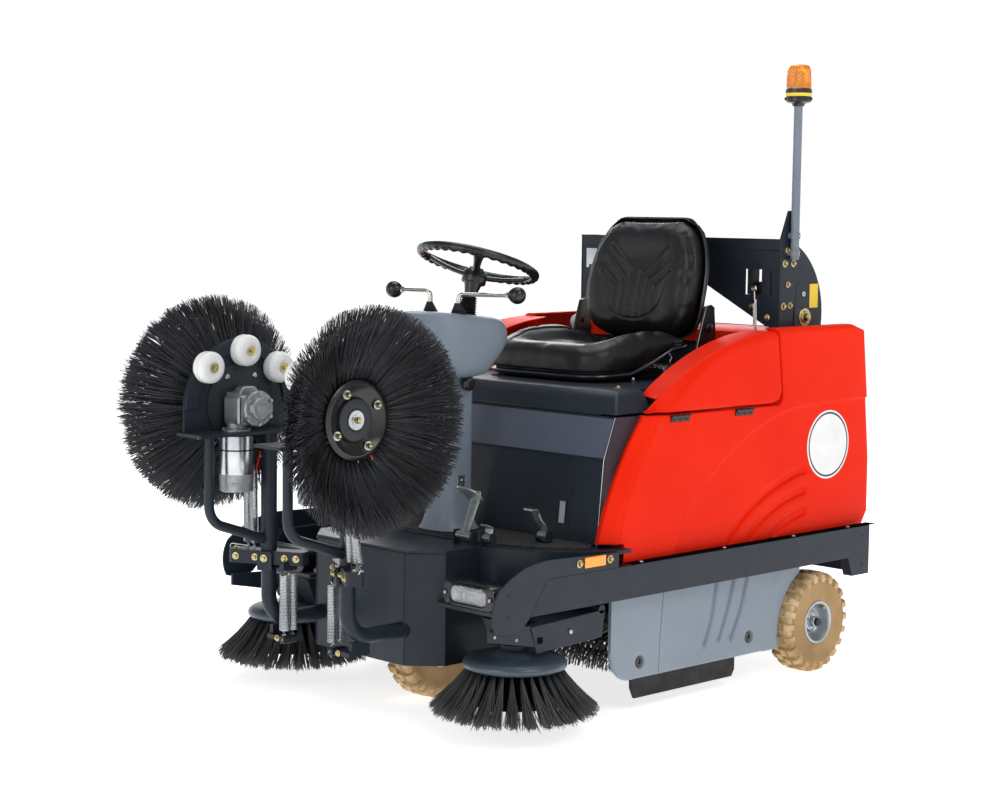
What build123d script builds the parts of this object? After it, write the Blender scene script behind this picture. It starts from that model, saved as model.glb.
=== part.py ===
from build123d import *
import os
from math import cos, radians, sin

# Ride-on sweeper. Millimetres, +Z up, floor at Z = 0, front of the machine towards -Y,
# driver's left towards +X, centre plane at X = 0.

# ---- driving dimensions ----
WHEEL_R = 146
WHEEL_W = 90
RIM_R = 58
REAR_AXLE_Y = 762
FRONT_AXLE_Y = -263
REAR_WHEEL_X = 492
AXLE_R = 12
RUN_GAP = 0.05

RAIL_OUT = 541
RAIL_IN = 509
RAIL_TOP = 408
RAIL_BOTTOM = 320
BODY_X = 506
BOX_TOP = 440
DECK_Z = 450
MAT_Z = 455
PANEL_X = 453
SEAM_Z = 787
HOOD_Z = 848
FLAP_IN = 400

ARM_X = 159
ARM_Y = -704
ARM_LEG_Z = 242
ARM_TUBE_R = 20
PIVOT_Z = 412
HEAD_Y = -765
HEAD_Z = 808
BRUSH_R = 282
TIP_X = 357

BROOM_Y = 240
BROOM_Z = 172
BROOM_PIN_R = 21
ARM_PIVOT = (-150, 300)
SIDE_BRUSH = (440, -388)
SIDE_BRUSH_R = 186
TOWER_X = 392
TOWER_Y = 726
TOWER_TOP = 1248
DUMP_PIVOT = (844, 1020)
MAST = (406, 773)
MAST_TOP = 1639
SEAT_HALF_W = 235

os.makedirs("parts", exist_ok=True)


def save(part, name):
    """Label one finished piece and write its STEP file."""
    part.label = name
    export_step(part, f"parts/{name}.step")


def save_pair(part, name):
    """Write the left piece and its mirror image for the right side."""
    save(part, f"{name}_left")
    with BuildPart() as right:
        mirror(part, about=Plane.YZ)
    save(right.part, f"{name}_right")


def side_plane(x):
    """Plane at this X with local axes Y and Z, and its normal along +X."""
    return Plane.YZ.offset(x)


def front_plane(y):
    """Plane at this Y with local axes X and Z, and its normal along -Y."""
    return Plane((0, y, 0), x_dir=(1, 0, 0), z_dir=(0, -1, 0))


# ---- frame ----
LEG_BOTTOM = 264
CROSS_BEAMS = [(-60, 340, RAIL_TOP), (575, 330, RAIL_TOP), (975, LEG_BOTTOM + 4, LEG_BOTTOM + 44)]

with BuildPart() as frame:
    with BuildSketch(side_plane(RAIL_IN)):
        Polygon((-376, RAIL_TOP), (993, RAIL_TOP), (993, LEG_BOTTOM), (911, LEG_BOTTOM),
                (890, RAIL_BOTTOM), (-437, RAIL_BOTTOM), align=None)
    extrude(amount=RAIL_OUT - RAIL_IN)
    mirror(about=Plane.YZ)
    for beam_y, low, high in CROSS_BEAMS:
        with Locations((0, beam_y, (low + high) / 2)):
            Box(2 * RAIL_IN, 30, high - low)
    with Locations((0, -70, (RAIL_TOP + BOX_TOP) / 2)):
        Box(2 * PANEL_X, 20, BOX_TOP - RAIL_TOP)
    with Locations((0, 575, (RAIL_TOP + DECK_Z) / 2)):
        Box(2 * PANEL_X, 30, DECK_Z - RAIL_TOP)
    with Locations((0, REAR_AXLE_Y, WHEEL_R)):
        Box(880, 50, 50)
        Cylinder(AXLE_R, 2 * 536, rotation=(0, 90, 0))
    with Locations((-420, REAR_AXLE_Y, 240), (420, REAR_AXLE_Y, 240)):
        Box(16, 70, 160)
    with Locations((0, REAR_AXLE_Y, 335)):
        Box(2 * RAIL_IN, 60, 30)
    for side in (1, -1):
        with Locations((side * 452, BROOM_Y, 260)):
            Box(12, 60, 234)
        with Locations((side * 420, BROOM_Y, BROOM_Z)):
            Cylinder(BROOM_PIN_R, 64, rotation=(0, 90, 0))
        with Locations((side * 478, BROOM_Y, 364)):
            Box(64, 60, 26)
        with Locations((side * 430, ARM_PIVOT[0], ARM_PIVOT[1])):
            Cylinder(AXLE_R, 176, rotation=(0, 90, 0))
        with Locations((side * 338, ARM_PIVOT[0] + 30, 335)):
            Box(16, 100, 110)
        with Locations((side * 420, -80, 360)):
            Box(180, 20, 40)
        with Locations((side * 120, 260, 355)):
            Box(40, 640, 20)
save(frame.part, "frame")

# ---- front wheel housing ----
BOX_BOTTOM = 150
BOX_PLAN = [(175, -528), (250, -453), (250, -94), (-250, -94), (-250, -453), (-175, -528)]
FORK_SHAFT_R = 20
FORK_WEB = (380, 400)

with BuildPart() as front_box:
    with BuildSketch(Plane.XY.offset(BOX_BOTTOM)):
        Polygon(*BOX_PLAN, align=None)
    extrude(amount=BOX_TOP - BOX_BOTTOM)
    for low, high in [(BOX_BOTTOM, FORK_WEB[0]), (FORK_WEB[1], BOX_TOP)]:
        with BuildSketch(Plane.XY.offset(low)):
            Polygon(*BOX_PLAN, align=None)
            offset(amount=-6, kind=Kind.INTERSECTION, mode=Mode.REPLACE)
        extrude(amount=high - low, mode=Mode.SUBTRACT)
    with Locations((0, FRONT_AXLE_Y, FORK_WEB[0])):
        Cylinder(FORK_SHAFT_R + RUN_GAP, 60, mode=Mode.SUBTRACT)
    with BuildSketch(front_plane(-440)):
        with Locations((ARM_X, ARM_LEG_Z), (-ARM_X, ARM_LEG_Z)):
            Circle(ARM_TUBE_R + 8)
    extrude(amount=86)
    with BuildSketch(front_plane(-420)):
        with Locations((ARM_X, ARM_LEG_Z), (-ARM_X, ARM_LEG_Z)):
            Circle(ARM_TUBE_R + RUN_GAP)
    extrude(amount=140, mode=Mode.SUBTRACT)
save(front_box.part, "front_box")

# ---- footwell deck with curved fender walls ----
FENDER_ARC = [(250, -335), (421, -262), (536, -104)]
WALL_BOTTOM = 322
PEDAL_PIN_Z = 22
PEDAL_PIN_R = 5

# each pedal: X, Y of its pin, side profile above the deck, plate thickness, width
PEDALS = {
    "drive_pedal": (198, -335, [(0, 30), (34, 112), (20, 138), (-12, 146)], 8, 60),
    "brake_pedal": (265, -315, [(0, 30), (4, 48), (-14, 56)], 6, 30),
    "parking_pedal": (330, -176, [(0, 30), (2, 40), (-22, 66), (-34, 92), (-62, 96)], 7, 34),
}
COLUMN_Y = -208

with BuildPart() as deck_plate:
    with BuildSketch(Plane.XY.offset(BOX_TOP)):
        with BuildLine():
            Polyline((0, -60), (536, -60), FENDER_ARC[2])
            ThreePointArc(FENDER_ARC[2], FENDER_ARC[1], FENDER_ARC[0])
            Polyline(FENDER_ARC[0], (250, -453), (175, -528), (0, -528), (0, -60))
        make_face()
        mirror(about=Plane.YZ)
    extrude(amount=DECK_Z - BOX_TOP)
    with BuildSketch(Plane.XY.offset(WALL_BOTTOM)):
        with BuildLine():
            ThreePointArc(FENDER_ARC[2], FENDER_ARC[1], FENDER_ARC[0])
            Polyline(FENDER_ARC[0], (250, -328))
            ThreePointArc((250, -328), (417, -256), (530, -100))
            Polyline((530, -100), FENDER_ARC[2])
        make_face()
        with Locations((RAIL_IN + 20, -130)):
            Rectangle(42, 100, mode=Mode.SUBTRACT)
        mirror(about=Plane.YZ)
    extrude(amount=BOX_TOP - WALL_BOTTOM)
    for pedal_x, pedal_y, _, _, width in PEDALS.values():
        for ear_x in (pedal_x - width / 2 - 3, pedal_x + width / 2 + 3):
            with Locations((ear_x, pedal_y, DECK_Z + 18)):
                Box(4, 20, 36)
        with Locations((pedal_x, pedal_y, DECK_Z + PEDAL_PIN_Z)):
            Cylinder(PEDAL_PIN_R, width + 8, rotation=(0, 90, 0))
save(deck_plate.part, "deck_plate")

with BuildPart() as floor_mat:
    with BuildSketch(Plane.XY.offset(DECK_Z)):
        with BuildLine():
            Polyline((0, -106), (440, -106), (470, -150))
            ThreePointArc((470, -150), (392, -232), (258, -290))
            Polyline((258, -290), (0, -290), (0, -106))
        make_face()
        mirror(about=Plane.YZ)
        with Locations((0, COLUMN_Y)):
            RectangleRounded(156, 156, 60, mode=Mode.SUBTRACT)
        for pedal_x, pedal_y, _, _, width in PEDALS.values():
            with Locations((pedal_x, pedal_y)):
                Rectangle(width + 14, 26, mode=Mode.SUBTRACT)
    extrude(amount=MAT_Z - DECK_Z)
save(floor_mat.part, "floor_mat")

# ---- side guards ----
with BuildPart() as guard:
    with BuildSketch(side_plane(RAIL_OUT - 5)):
        with BuildLine():
            Polyline((-113, 448), (-113, RAIL_TOP), (-376, RAIL_TOP), (-437, RAIL_BOTTOM), (-463, 294))
            ThreePointArc((-463, 294), (-510, 286), (-556, 292))
            ThreePointArc((-556, 292), (-568, 345), (-550, 394))
            ThreePointArc((-550, 394), (-472, 437), (-358, 456))
            Line((-358, 456), (-113, 448))
        make_face()
    extrude(amount=5)
save_pair(guard.part, "guard")

# ---- red body sides ----
PANEL_EDGE = [(-58, 412), (-58, 456), (-147, 460), (-84, 629), (19, SEAM_Z)]

with BuildPart() as side_panel:
    with BuildSketch(side_plane(460)) as panel_outline:
        with BuildLine():
            Polyline(PANEL_EDGE[0], PANEL_EDGE[1], PANEL_EDGE[2])
            ThreePointArc(PANEL_EDGE[2], PANEL_EDGE[3], PANEL_EDGE[4])
            Polyline(PANEL_EDGE[4], (612, SEAM_Z), (584, 1000), (941, 1002), (1000, 984),
                     (1046, 600), (1047, 443), (1022, 412), PANEL_EDGE[0])
        make_face()
    extrude(amount=BODY_X - 460)
    with BuildSketch(side_plane(459)):
        add(panel_outline.sketch_local)
        offset(amount=-14, kind=Kind.INTERSECTION, mode=Mode.REPLACE)
    extrude(amount=BODY_X - 459 - 14, mode=Mode.SUBTRACT)
    with Locations((431, 760, 993)):
        Box(60, 340, 14)
save_pair(side_panel.part, "side_panel")

FLAP_TOP = [(24, SEAM_Z + 5), (237, 922), (561, 992)]
with BuildPart() as fender_flap:
    with BuildSketch(side_plane(FLAP_IN)) as flap_outline:
        with BuildLine():
            ThreePointArc(*FLAP_TOP)
            Polyline(FLAP_TOP[2], (576, 990), (604, SEAM_Z + 5), FLAP_TOP[0])
        make_face()
    extrude(amount=BODY_X - FLAP_IN)
    with BuildSketch(side_plane(FLAP_IN - 1)):
        add(flap_outline.sketch_local)
        offset(amount=-12, kind=Kind.INTERSECTION, mode=Mode.REPLACE)
    extrude(amount=BODY_X - FLAP_IN + 1 - 12, mode=Mode.SUBTRACT)
    with BuildSketch(side_plane(FLAP_IN - 1)):
        Polygon((60, 780), (590, 780), (590, 810), (60, 810), align=None)
    extrude(amount=BODY_X - FLAP_IN + 1 - 12, mode=Mode.SUBTRACT)
    with BuildSketch(side_plane(FLAP_IN - 1)):
        Polygon((554, 780), (620, 780), (620, 975), (554, 975), align=None)
    extrude(amount=81, mode=Mode.SUBTRACT)
save_pair(fender_flap.part, "fender_flap")

HINGE_Y = [(140, 60), (416, 60)]
with BuildPart() as flap_hinges:
    for side in (1, -1):
        for hinge_y, length in HINGE_Y:
            with Locations((side * (BODY_X + 4), hinge_y, SEAM_Z - 6)):
                Cylinder(3.9, length, rotation=(90, 0, 0))
            with Locations((side * (BODY_X + 1.6), hinge_y, SEAM_Z - 12)):
                Box(3, length, 12)
save(flap_hinges.part, "flap_hinges")

# ---- seat box and hood ----
with BuildPart() as seat_base:
    with BuildSketch(side_plane(-PANEL_X)):
        Polygon((-103, DECK_Z), (-81, 675), (-38, SEAM_Z - 2), (590, SEAM_Z - 2), (590, DECK_Z), align=None)
    extrude(amount=2 * PANEL_X)
    with BuildSketch(side_plane(-PANEL_X + 12)):
        Polygon((-90, 440), (-68, 673), (-30, SEAM_Z - 14), (578, SEAM_Z - 14), (578, 440), align=None)
    extrude(amount=2 * PANEL_X - 24, mode=Mode.SUBTRACT)
save(seat_base.part, "seat_base")

with BuildPart() as hood:
    with BuildSketch(side_plane(-FLAP_IN + 1)):
        Polygon((-38, SEAM_Z + 3), (-3, 842), (8, HOOD_Z), (595, HOOD_Z), (595, SEAM_Z + 3), align=None)
    extrude(amount=2 * FLAP_IN - 2)
    with BuildSketch(side_plane(-FLAP_IN + 10)):
        Polygon((-24, SEAM_Z), (6, 834), (14, HOOD_Z - 10), (586, HOOD_Z - 10), (586, SEAM_Z), align=None)
    extrude(amount=2 * FLAP_IN - 20, mode=Mode.SUBTRACT)
    with BuildSketch(side_plane(FLAP_IN - 1)):
        Polygon((-38, SEAM_Z + 3), (-3, 842), (8, HOOD_Z), (20, HOOD_Z), (20, SEAM_Z + 3), align=None)
    extrude(amount=66, taper=12)
    with BuildSketch(Plane.YZ.offset(-FLAP_IN + 1)):
        Polygon((-38, SEAM_Z + 3), (-3, 842), (8, HOOD_Z), (20, HOOD_Z), (20, SEAM_Z + 3), align=None)
    extrude(amount=-66, taper=12)
save(hood.part, "hood")

# ---- lower covers ----
with BuildPart() as skirt:
    with BuildSketch(side_plane(492)):
        with BuildLine():
            Line((-96, 318), (-96, 160))
            ThreePointArc((-96, 160), (-62, 103), (0, 88))
            Polyline((0, 88), (700, 84), (700, 318), (-96, 318))
        make_face()
        with Locations((REAR_AXLE_Y, WHEEL_R)):
            Circle(WHEEL_R + 14, mode=Mode.SUBTRACT)
    extrude(amount=16)
save_pair(skirt.part, "skirt")

with BuildPart() as side_flaps:
    with Locations((486, 222, 76), (-486, 222, 76)):
        Box(10, 435, 92)
save(side_flaps.part, "side_flaps")

# ---- drive unit inside the seat box ----
with BuildPart() as drive_unit:
    with Locations((0, 240, 512)):
        Box(340, 300, 294)
    with Locations((0, 240, 690)):
        Box(240, 200, 64)
    with Locations((0, 430, 540)):
        Cylinder(70, 90, rotation=(90, 0, 0))
    with Locations((-215, 240, 560)):
        Cylinder(60, 100, rotation=(0, 90, 0))
save(drive_unit.part, "drive_unit")

# ---- wheels: a ring tyre and a dished rim on each hub ----
with BuildPart() as tyre:
    with BuildSketch(Plane.XZ):
        with Locations(((WHEEL_R + RIM_R) / 2, 0)):
            RectangleRounded(WHEEL_R - RIM_R, WHEEL_W, 24)
    revolve(axis=Axis.Z)

with BuildPart() as rim:
    with BuildSketch(Plane.XZ):
        Polygon((AXLE_R + RUN_GAP, -40), (30, -40), (30, -10), (50, -10), (50, -38), (RIM_R, -38),
                (RIM_R, 38), (50, 38), (50, 4), (30, 4), (30, 38), (AXLE_R + RUN_GAP, 38), align=None)
    revolve(axis=Axis.Z)


def wheel_at(part, x, y):
    """A wheel piece turned from the Z axis onto the X axis and moved to its axle."""
    return Pos(x, y, WHEEL_R) * Rot(0, 90, 0) * part


for side, wheel_name in ((1, "left"), (-1, "right")):
    save(wheel_at(tyre.part, side * REAR_WHEEL_X, REAR_AXLE_Y), f"rear_tyre_{wheel_name}")
    save(wheel_at(rim.part, side * REAR_WHEEL_X, REAR_AXLE_Y), f"rear_rim_{wheel_name}")
save(wheel_at(tyre.part, 0, FRONT_AXLE_Y), "front_tyre")
save(wheel_at(rim.part, 0, FRONT_AXLE_Y), "front_rim")

with BuildPart() as steer_fork:
    with Locations((58, FRONT_AXLE_Y, 215), (-58, FRONT_AXLE_Y, 215)):
        Box(10, 44, 182)
    with Locations((0, FRONT_AXLE_Y, 315)):
        Box(126, 60, 20)
    with Locations((0, FRONT_AXLE_Y, 370)):
        Cylinder(FORK_SHAFT_R, 100)
    with Locations((0, FRONT_AXLE_Y, WHEEL_R)):
        Cylinder(AXLE_R, 132, rotation=(0, 90, 0))
    with Locations((0, FRONT_AXLE_Y, 412)):
        Cylinder(60, 12)
save(steer_fork.part, "steer_fork")

# ---- console, steering wheel, levers ----
STEER_TILT = 18
STEER_HUB = (0, -108, 1177)
COLUMN_PLANE = Plane(STEER_HUB, x_dir=(1, 0, 0),
                     z_dir=(0, sin(radians(STEER_TILT)), cos(radians(STEER_TILT))))
RIM_MINOR = 13
RIM_MAJOR = 172 - RIM_MINOR
DISH = 36
SHAFT_R = 12

with BuildPart() as console:
    with BuildSketch(side_plane(-108)):
        Polygon((-340, 1052), (-68, 1024), (-52, 975), (-150, 872), (-262, 872), (-345, 930), align=None)
    extrude(amount=216)
    fillet(console.edges().group_by(Axis.X)[0] + console.edges().group_by(Axis.X)[-1], radius=22)
    with BuildSketch(Plane.XY.offset(DECK_Z)):
        with Locations((0, COLUMN_Y)):
            RectangleRounded(150, 150, 60)
    with BuildSketch(Plane.XY.offset(530)):
        with Locations((0, COLUMN_Y)):
            RectangleRounded(104, 104, 44)
    loft()
    with BuildSketch(Plane.XY.offset(530)):
        with Locations((0, COLUMN_Y)):
            RectangleRounded(104, 104, 44)
    extrude(amount=370)
    with BuildSketch(COLUMN_PLANE.offset(-180)):
        Circle(SHAFT_R + RUN_GAP)
    extrude(amount=120, mode=Mode.SUBTRACT)
save(console.part, "console")

with BuildPart() as steering_wheel:
    with BuildSketch(Plane(origin=COLUMN_PLANE.origin, x_dir=(1, 0, 0), z_dir=COLUMN_PLANE.y_dir)):
        with Locations((RIM_MAJOR, 0)):
            Circle(RIM_MINOR)
    revolve(axis=Axis(COLUMN_PLANE.origin, COLUMN_PLANE.z_dir))
    with BuildSketch(COLUMN_PLANE.offset(-DISH - 18)):
        Circle(34)
    extrude(amount=36, taper=6)
    for spoke_angle in (90, 210, 330):
        spoke_dir = COLUMN_PLANE.x_dir.rotate(Axis((0, 0, 0), COLUMN_PLANE.z_dir), spoke_angle)
        start = COLUMN_PLANE.origin + spoke_dir * 20 - COLUMN_PLANE.z_dir * DISH
        end = COLUMN_PLANE.origin + spoke_dir * RIM_MAJOR
        with BuildSketch(Plane(start, x_dir=COLUMN_PLANE.z_dir.cross(spoke_dir), z_dir=end - start)):
            RectangleRounded(24, 12, 5)
        extrude(amount=(end - start).length)
    with BuildSketch(COLUMN_PLANE.offset(-178)):
        Circle(SHAFT_R)
    extrude(amount=178 - DISH)
save(steering_wheel.part, "steering_wheel")

LEVER_TOP_Z = 1052
LEVERS = {"left": ((55, -233), (185, -140), 1096), "right": ((55, -233), (170, -262), 1102)}
for side_name, (foot, ball, ball_z) in LEVERS.items():
    with BuildPart() as lever:
        with Locations((ball[0], ball[1], ball_z)):
            Sphere(21, rotation=(0, 0, 90))
        with Locations((foot[0], foot[1], LEVER_TOP_Z + 8)):
            Cylinder(15, 16)
        with Locations((foot[0], foot[1], LEVER_TOP_Z + 4)):
            Cylinder(9, 36, rotation=(0, 90, 0))
        with Locations((foot[0], foot[1], (LEVER_TOP_Z + ball_z) / 2)):
            Cylinder(6, ball_z - LEVER_TOP_Z)
        with Locations((foot[0], foot[1], ball_z)):
            Sphere(6, rotation=(0, 0, 90))
        bar_start = Vector(foot[0], foot[1], ball_z)
        bar_end = Vector(ball[0], ball[1], ball_z)
        with BuildSketch(Plane(bar_start, z_dir=bar_end - bar_start)):
            Circle(6)
        extrude(amount=(bar_end - bar_start).length)
        if side_name == "right":
            mirror(about=Plane.YZ, mode=Mode.REPLACE)
    save(lever.part, f"lever_{side_name}")

# ---- pedals: each a bent plate on a cross pin above the mat ----
for pedal_name, (pedal_x, pedal_y, profile, thick, width) in PEDALS.items():
    with BuildPart() as pedal:
        with BuildSketch(side_plane(pedal_x - width / 2)):
            with BuildLine():
                Polyline(*[(pedal_y + y, DECK_Z + z) for y, z in profile])
                offset(amount=thick / 2, kind=Kind.INTERSECTION)
            make_face()
        extrude(amount=width)
        with Locations((pedal_x, pedal_y, DECK_Z + PEDAL_PIN_Z)):
            Cylinder(11, width, rotation=(0, 90, 0))
            Cylinder(PEDAL_PIN_R + RUN_GAP, width, rotation=(0, 90, 0), mode=Mode.SUBTRACT)
    save(pedal.part, pedal_name)

# ---- head lamps and reflectors ----
with BuildPart() as headlight:
    with BuildSketch(front_plane(-440)):
        with Locations((372, 356)):
            SlotOverall(190, 66)
    extrude(amount=56)
    with Locations((370, -420, 320)):
        Box(236, 140, 12)
    with Locations((276, -380, 332)):
        Box(48, 60, 28)
save_pair(headlight.part, "headlight")

with BuildPart() as reflectors:
    for side in (1, -1):
        with Locations((side * (RAIL_OUT + 2), -205, 434)):
            Box(4, 78, 27)
save(reflectors.part, "reflectors")

# ---- towers for the high-dump hopper, mast and beacon ----
with BuildPart() as tower_frame:
    with BuildSketch(side_plane(TOWER_X - 8)):
        with BuildLine():
            Polyline((TOWER_Y, 960), (TOWER_Y, TOWER_TOP), (796, TOWER_TOP), (812, 1226))
            ThreePointArc((812, 1226), (894, 1150), (928, 1000))
            Polyline((928, 1000), (928, 960), (TOWER_Y, 960))
        make_face()
    extrude(amount=8)
    with BuildSketch(side_plane(TOWER_X - 8)):
        Polygon((TOWER_Y, 350), (890, 350), (890, 960), (TOWER_Y, 960), align=None)
    extrude(amount=8)
    with Locations((TOWER_X - 18, TOWER_Y + 3, 1119)):
        Box(36, 6, 258)
    mirror(about=Plane.YZ)
    with BuildSketch(side_plane(TOWER_X - 8)):
        Polygon((TOWER_Y + 4, TOWER_TOP), (764, 1330), (776, 1330), (800, TOWER_TOP - 4),
                (TOWER_Y + 4, TOWER_TOP - 4), align=None)
    extrude(amount=8)
    with BuildSketch(front_plane(TOWER_Y + 6)):
        Polygon((-385, TOWER_TOP), (385, TOWER_TOP), (385, 990), (352, 990), (116, 1109), (-116, 1109),
                (-352, 990), (-385, 990), align=None)
        with Locations((294, 1122)):
            Rectangle(62, 74, mode=Mode.SUBTRACT)
    extrude(amount=6)
    with BuildSketch(side_plane(-TOWER_X)):
        with Locations(DUMP_PIVOT):
            Circle(AXLE_R)
    extrude(amount=30)
    with BuildSketch(side_plane(TOWER_X - 30)):
        with Locations(DUMP_PIVOT):
            Circle(AXLE_R)
    extrude(amount=40)
save(tower_frame.part, "tower_frame")

with BuildPart() as mast:
    with Locations((MAST[0], MAST[1], (TOWER_TOP - 60 + MAST_TOP) / 2)):
        Cylinder(12.5, MAST_TOP - TOWER_TOP + 60)
    with Locations((MAST[0] - 9, MAST[1], 1200), (MAST[0] - 9, MAST[1], 1235)):
        Box(10, 24, 16)
    with Locations((MAST[0], MAST[1], MAST_TOP + 20)):
        Cylinder(38, 40)
save(mast.part, "mast")

with BuildPart() as beacon_dome:
    with BuildSketch(Plane.XY.offset(MAST_TOP + 40)):
        with Locations((MAST[0], MAST[1])):
            Circle(36)
    extrude(amount=68, taper=5)
    fillet(beacon_dome.edges().group_by(Axis.Z)[-1], radius=8)
save(beacon_dome.part, "beacon_dome")

# ---- hopper with its rear cover, hung on the tower pins ----
BUCKET_X = 372
with BuildPart() as hopper:
    with BuildSketch(side_plane(-BUCKET_X)):
        Polygon((640, 470), (680, 430), (1000, 430), (1030, 520), (1030, 940), (960, 970), (720, 970),
                (720, 860), (640, 780), align=None)
    extrude(amount=2 * BUCKET_X)
    with BuildSketch(side_plane(-BUCKET_X + 8)):
        Polygon((632, 478), (684, 438), (994, 438), (1022, 522), (1022, 936), (958, 962), (728, 962),
                (728, 856), (650, 778), (632, 760), align=None)
    extrude(amount=2 * BUCKET_X - 16, mode=Mode.SUBTRACT)
    for ear_x in (-BUCKET_X, BUCKET_X - 8):
        with BuildSketch(side_plane(ear_x)):
            Polygon((790, 960), (898, 960), (880, 1040), (808, 1040), align=None)
        extrude(amount=8)
    with Locations((0, DUMP_PIVOT[0], DUMP_PIVOT[1])):
        Cylinder(AXLE_R + RUN_GAP, 900, rotation=(0, 90, 0), mode=Mode.SUBTRACT)
    with BuildSketch(front_plane(1042)):
        with Locations((0, 705)):
            RectangleRounded(850, 540, 30)
    extrude(amount=12)
save(hopper.part, "hopper")

# ---- main sweeping roller under the machine ----
with BuildPart() as main_broom:
    with Locations((0, BROOM_Y, BROOM_Z)):
        Cylinder(150, 860, rotation=(0, 90, 0))
        Cylinder(BROOM_PIN_R + RUN_GAP, 900, rotation=(0, 90, 0), mode=Mode.SUBTRACT)
save(main_broom.part, "main_broom")

# ---- side brush arm and brush ----
with BuildPart() as side_arm:
    with BuildSketch(side_plane(352)):
        Polygon((-406, 264), (-138, 258), (-130, 316), (-406, 300), align=None)
    extrude(amount=166)
    with Locations((SIDE_BRUSH[0], SIDE_BRUSH[1] + 36, 243)):
        Cylinder(38, 50)
    with Locations((SIDE_BRUSH[0], SIDE_BRUSH[1], 230)):
        Cylinder(12, 70)
    with BuildSketch(side_plane(350)):
        with Locations(ARM_PIVOT):
            Circle(12 + RUN_GAP)
    extrude(amount=180, mode=Mode.SUBTRACT)
save_pair(side_arm.part, "side_arm")

with BuildPart() as side_brush:
    with BuildSketch(Plane.XZ):
        Polygon((12 + RUN_GAP, 206), (60, 206), (124, 200), (132, 188), (132, 176), (120, 172),
                (SIDE_BRUSH_R, 74), (SIDE_BRUSH_R - 16, 62), (84, 172), (12 + RUN_GAP, 172), align=None)
    revolve(axis=Axis.Z)
save_pair(Pos(SIDE_BRUSH[0], SIDE_BRUSH[1], 0) * side_brush.part, "side_brush")

# ---- front swing arms ----
BEND_R = 70
BLOCK_ANGLE = radians(-30)
BLOCK_DIR = (cos(BLOCK_ANGLE), sin(BLOCK_ANGLE), 0)
PIVOT_PIN_R = 8
PIN_PLANE = Plane((ARM_X, ARM_Y, PIVOT_Z), x_dir=BLOCK_DIR,
                  z_dir=(sin(BLOCK_ANGLE), -cos(BLOCK_ANGLE), 0))
with BuildPart() as swing_arm:
    with BuildLine():
        FilletPolyline((ARM_X, -424, ARM_LEG_Z), (ARM_X, ARM_Y, ARM_LEG_Z),
                       (ARM_X, ARM_Y, PIVOT_Z - 26), radius=BEND_R)
    with BuildSketch(Plane((ARM_X, -424, ARM_LEG_Z), x_dir=(1, 0, 0), z_dir=(0, -1, 0))):
        Circle(ARM_TUBE_R)
    sweep()
    with Locations((ARM_X - 34, -678, 200)):
        Box(80, 52, 12)
    with Locations((ARM_X, -665, 212)):
        Box(12, 60, 36)
    for low, thick in ((-33, 8), (25, 8)):
        with BuildSketch(PIN_PLANE.offset(low)):
            with Locations((0, -8)):
                RectangleRounded(40, 50, 8)
        extrude(amount=thick)
    with BuildSketch(Plane((ARM_X, ARM_Y, PIVOT_Z - 32), x_dir=PIN_PLANE.x_dir, z_dir=(0, 0, 1))):
        Rectangle(40, 66)
    extrude(amount=7)
    with BuildSketch(PIN_PLANE.offset(-36)):
        Circle(PIVOT_PIN_R)
    extrude(amount=72)
save_pair(swing_arm.part, "swing_arm")

# ---- brush head carrier: hinge block, main tube, hoop, motor plate, guard disc ----
PLATE_Z = 742
DISC_X = 203
with BuildPart() as head_frame:
    with BuildSketch(Plane((ARM_X, ARM_Y, PIVOT_Z - 18), x_dir=BLOCK_DIR, z_dir=(0, 0, 1))):
        RectangleRounded(210, 46, 12)
    extrude(amount=36)
    with BuildSketch(PIN_PLANE.offset(-40)):
        Circle(PIVOT_PIN_R + RUN_GAP)
    extrude(amount=80, mode=Mode.SUBTRACT)
    with Locations((ARM_X, ARM_Y, (PIVOT_Z + 16 + PLATE_Z) / 2)):
        Cylinder(21, PLATE_Z - PIVOT_Z - 16)
    with BuildSketch(Plane((ARM_X, -897, PLATE_Z))):
        Circle(13)
    with BuildLine():
        FilletPolyline((ARM_X, -897, PLATE_Z), (ARM_X, -897, 520), (ARM_X, ARM_Y, 455), radius=60)
    sweep()
    with Locations((ARM_X, -800, PLATE_Z + 4)):
        Box(104, 320, 8)
    with BuildSketch(side_plane(DISC_X)):
        with Locations((HEAD_Y, HEAD_Z)):
            Circle(176)
            Rectangle(360, 200, mode=Mode.SUBTRACT, align=(Align.CENTER, Align.MAX))
        with Locations((HEAD_Y, PLATE_Z)):
            Rectangle(352, HEAD_Z - PLATE_Z + 1, align=(Align.CENTER, Align.MIN))
        with Locations((HEAD_Y, HEAD_Z)):
            Circle(20, mode=Mode.SUBTRACT)
    extrude(amount=8)
save_pair(head_frame.part, "head_frame")

with BuildPart() as head_drive:
    with Locations((ARM_X, HEAD_Y - 45, PLATE_Z - 74)):
        Cylinder(45, 148)
    with Locations((ARM_X, HEAD_Y - 45, PLATE_Z + 16)):
        Cylinder(38, 16)
    with Locations((ARM_X, HEAD_Y - 34, HEAD_Z)):
        Box(70, 62, 116)
    with Locations((ARM_X - 18, HEAD_Y, HEAD_Z)):
        Cylinder(42, 106, rotation=(0, 90, 0))
    with Locations((ARM_X + 53, HEAD_Y, HEAD_Z)):
        Cylinder(AXLE_R, 104, rotation=(0, 90, 0))
save_pair(head_drive.part, "head_drive")

ROLLERS = [(-113, 106), (4, 145), (112, 97)]
with BuildPart() as head_rollers:
    with BuildSketch(side_plane(DISC_X - 40)):
        with Locations(*[(HEAD_Y + y, HEAD_Z + z) for y, z in ROLLERS]):
            Circle(41)
    extrude(amount=38)
    fillet(head_rollers.edges().group_by(Axis.X)[0], radius=16)
save_pair(head_rollers.part, "head_rollers")

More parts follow.
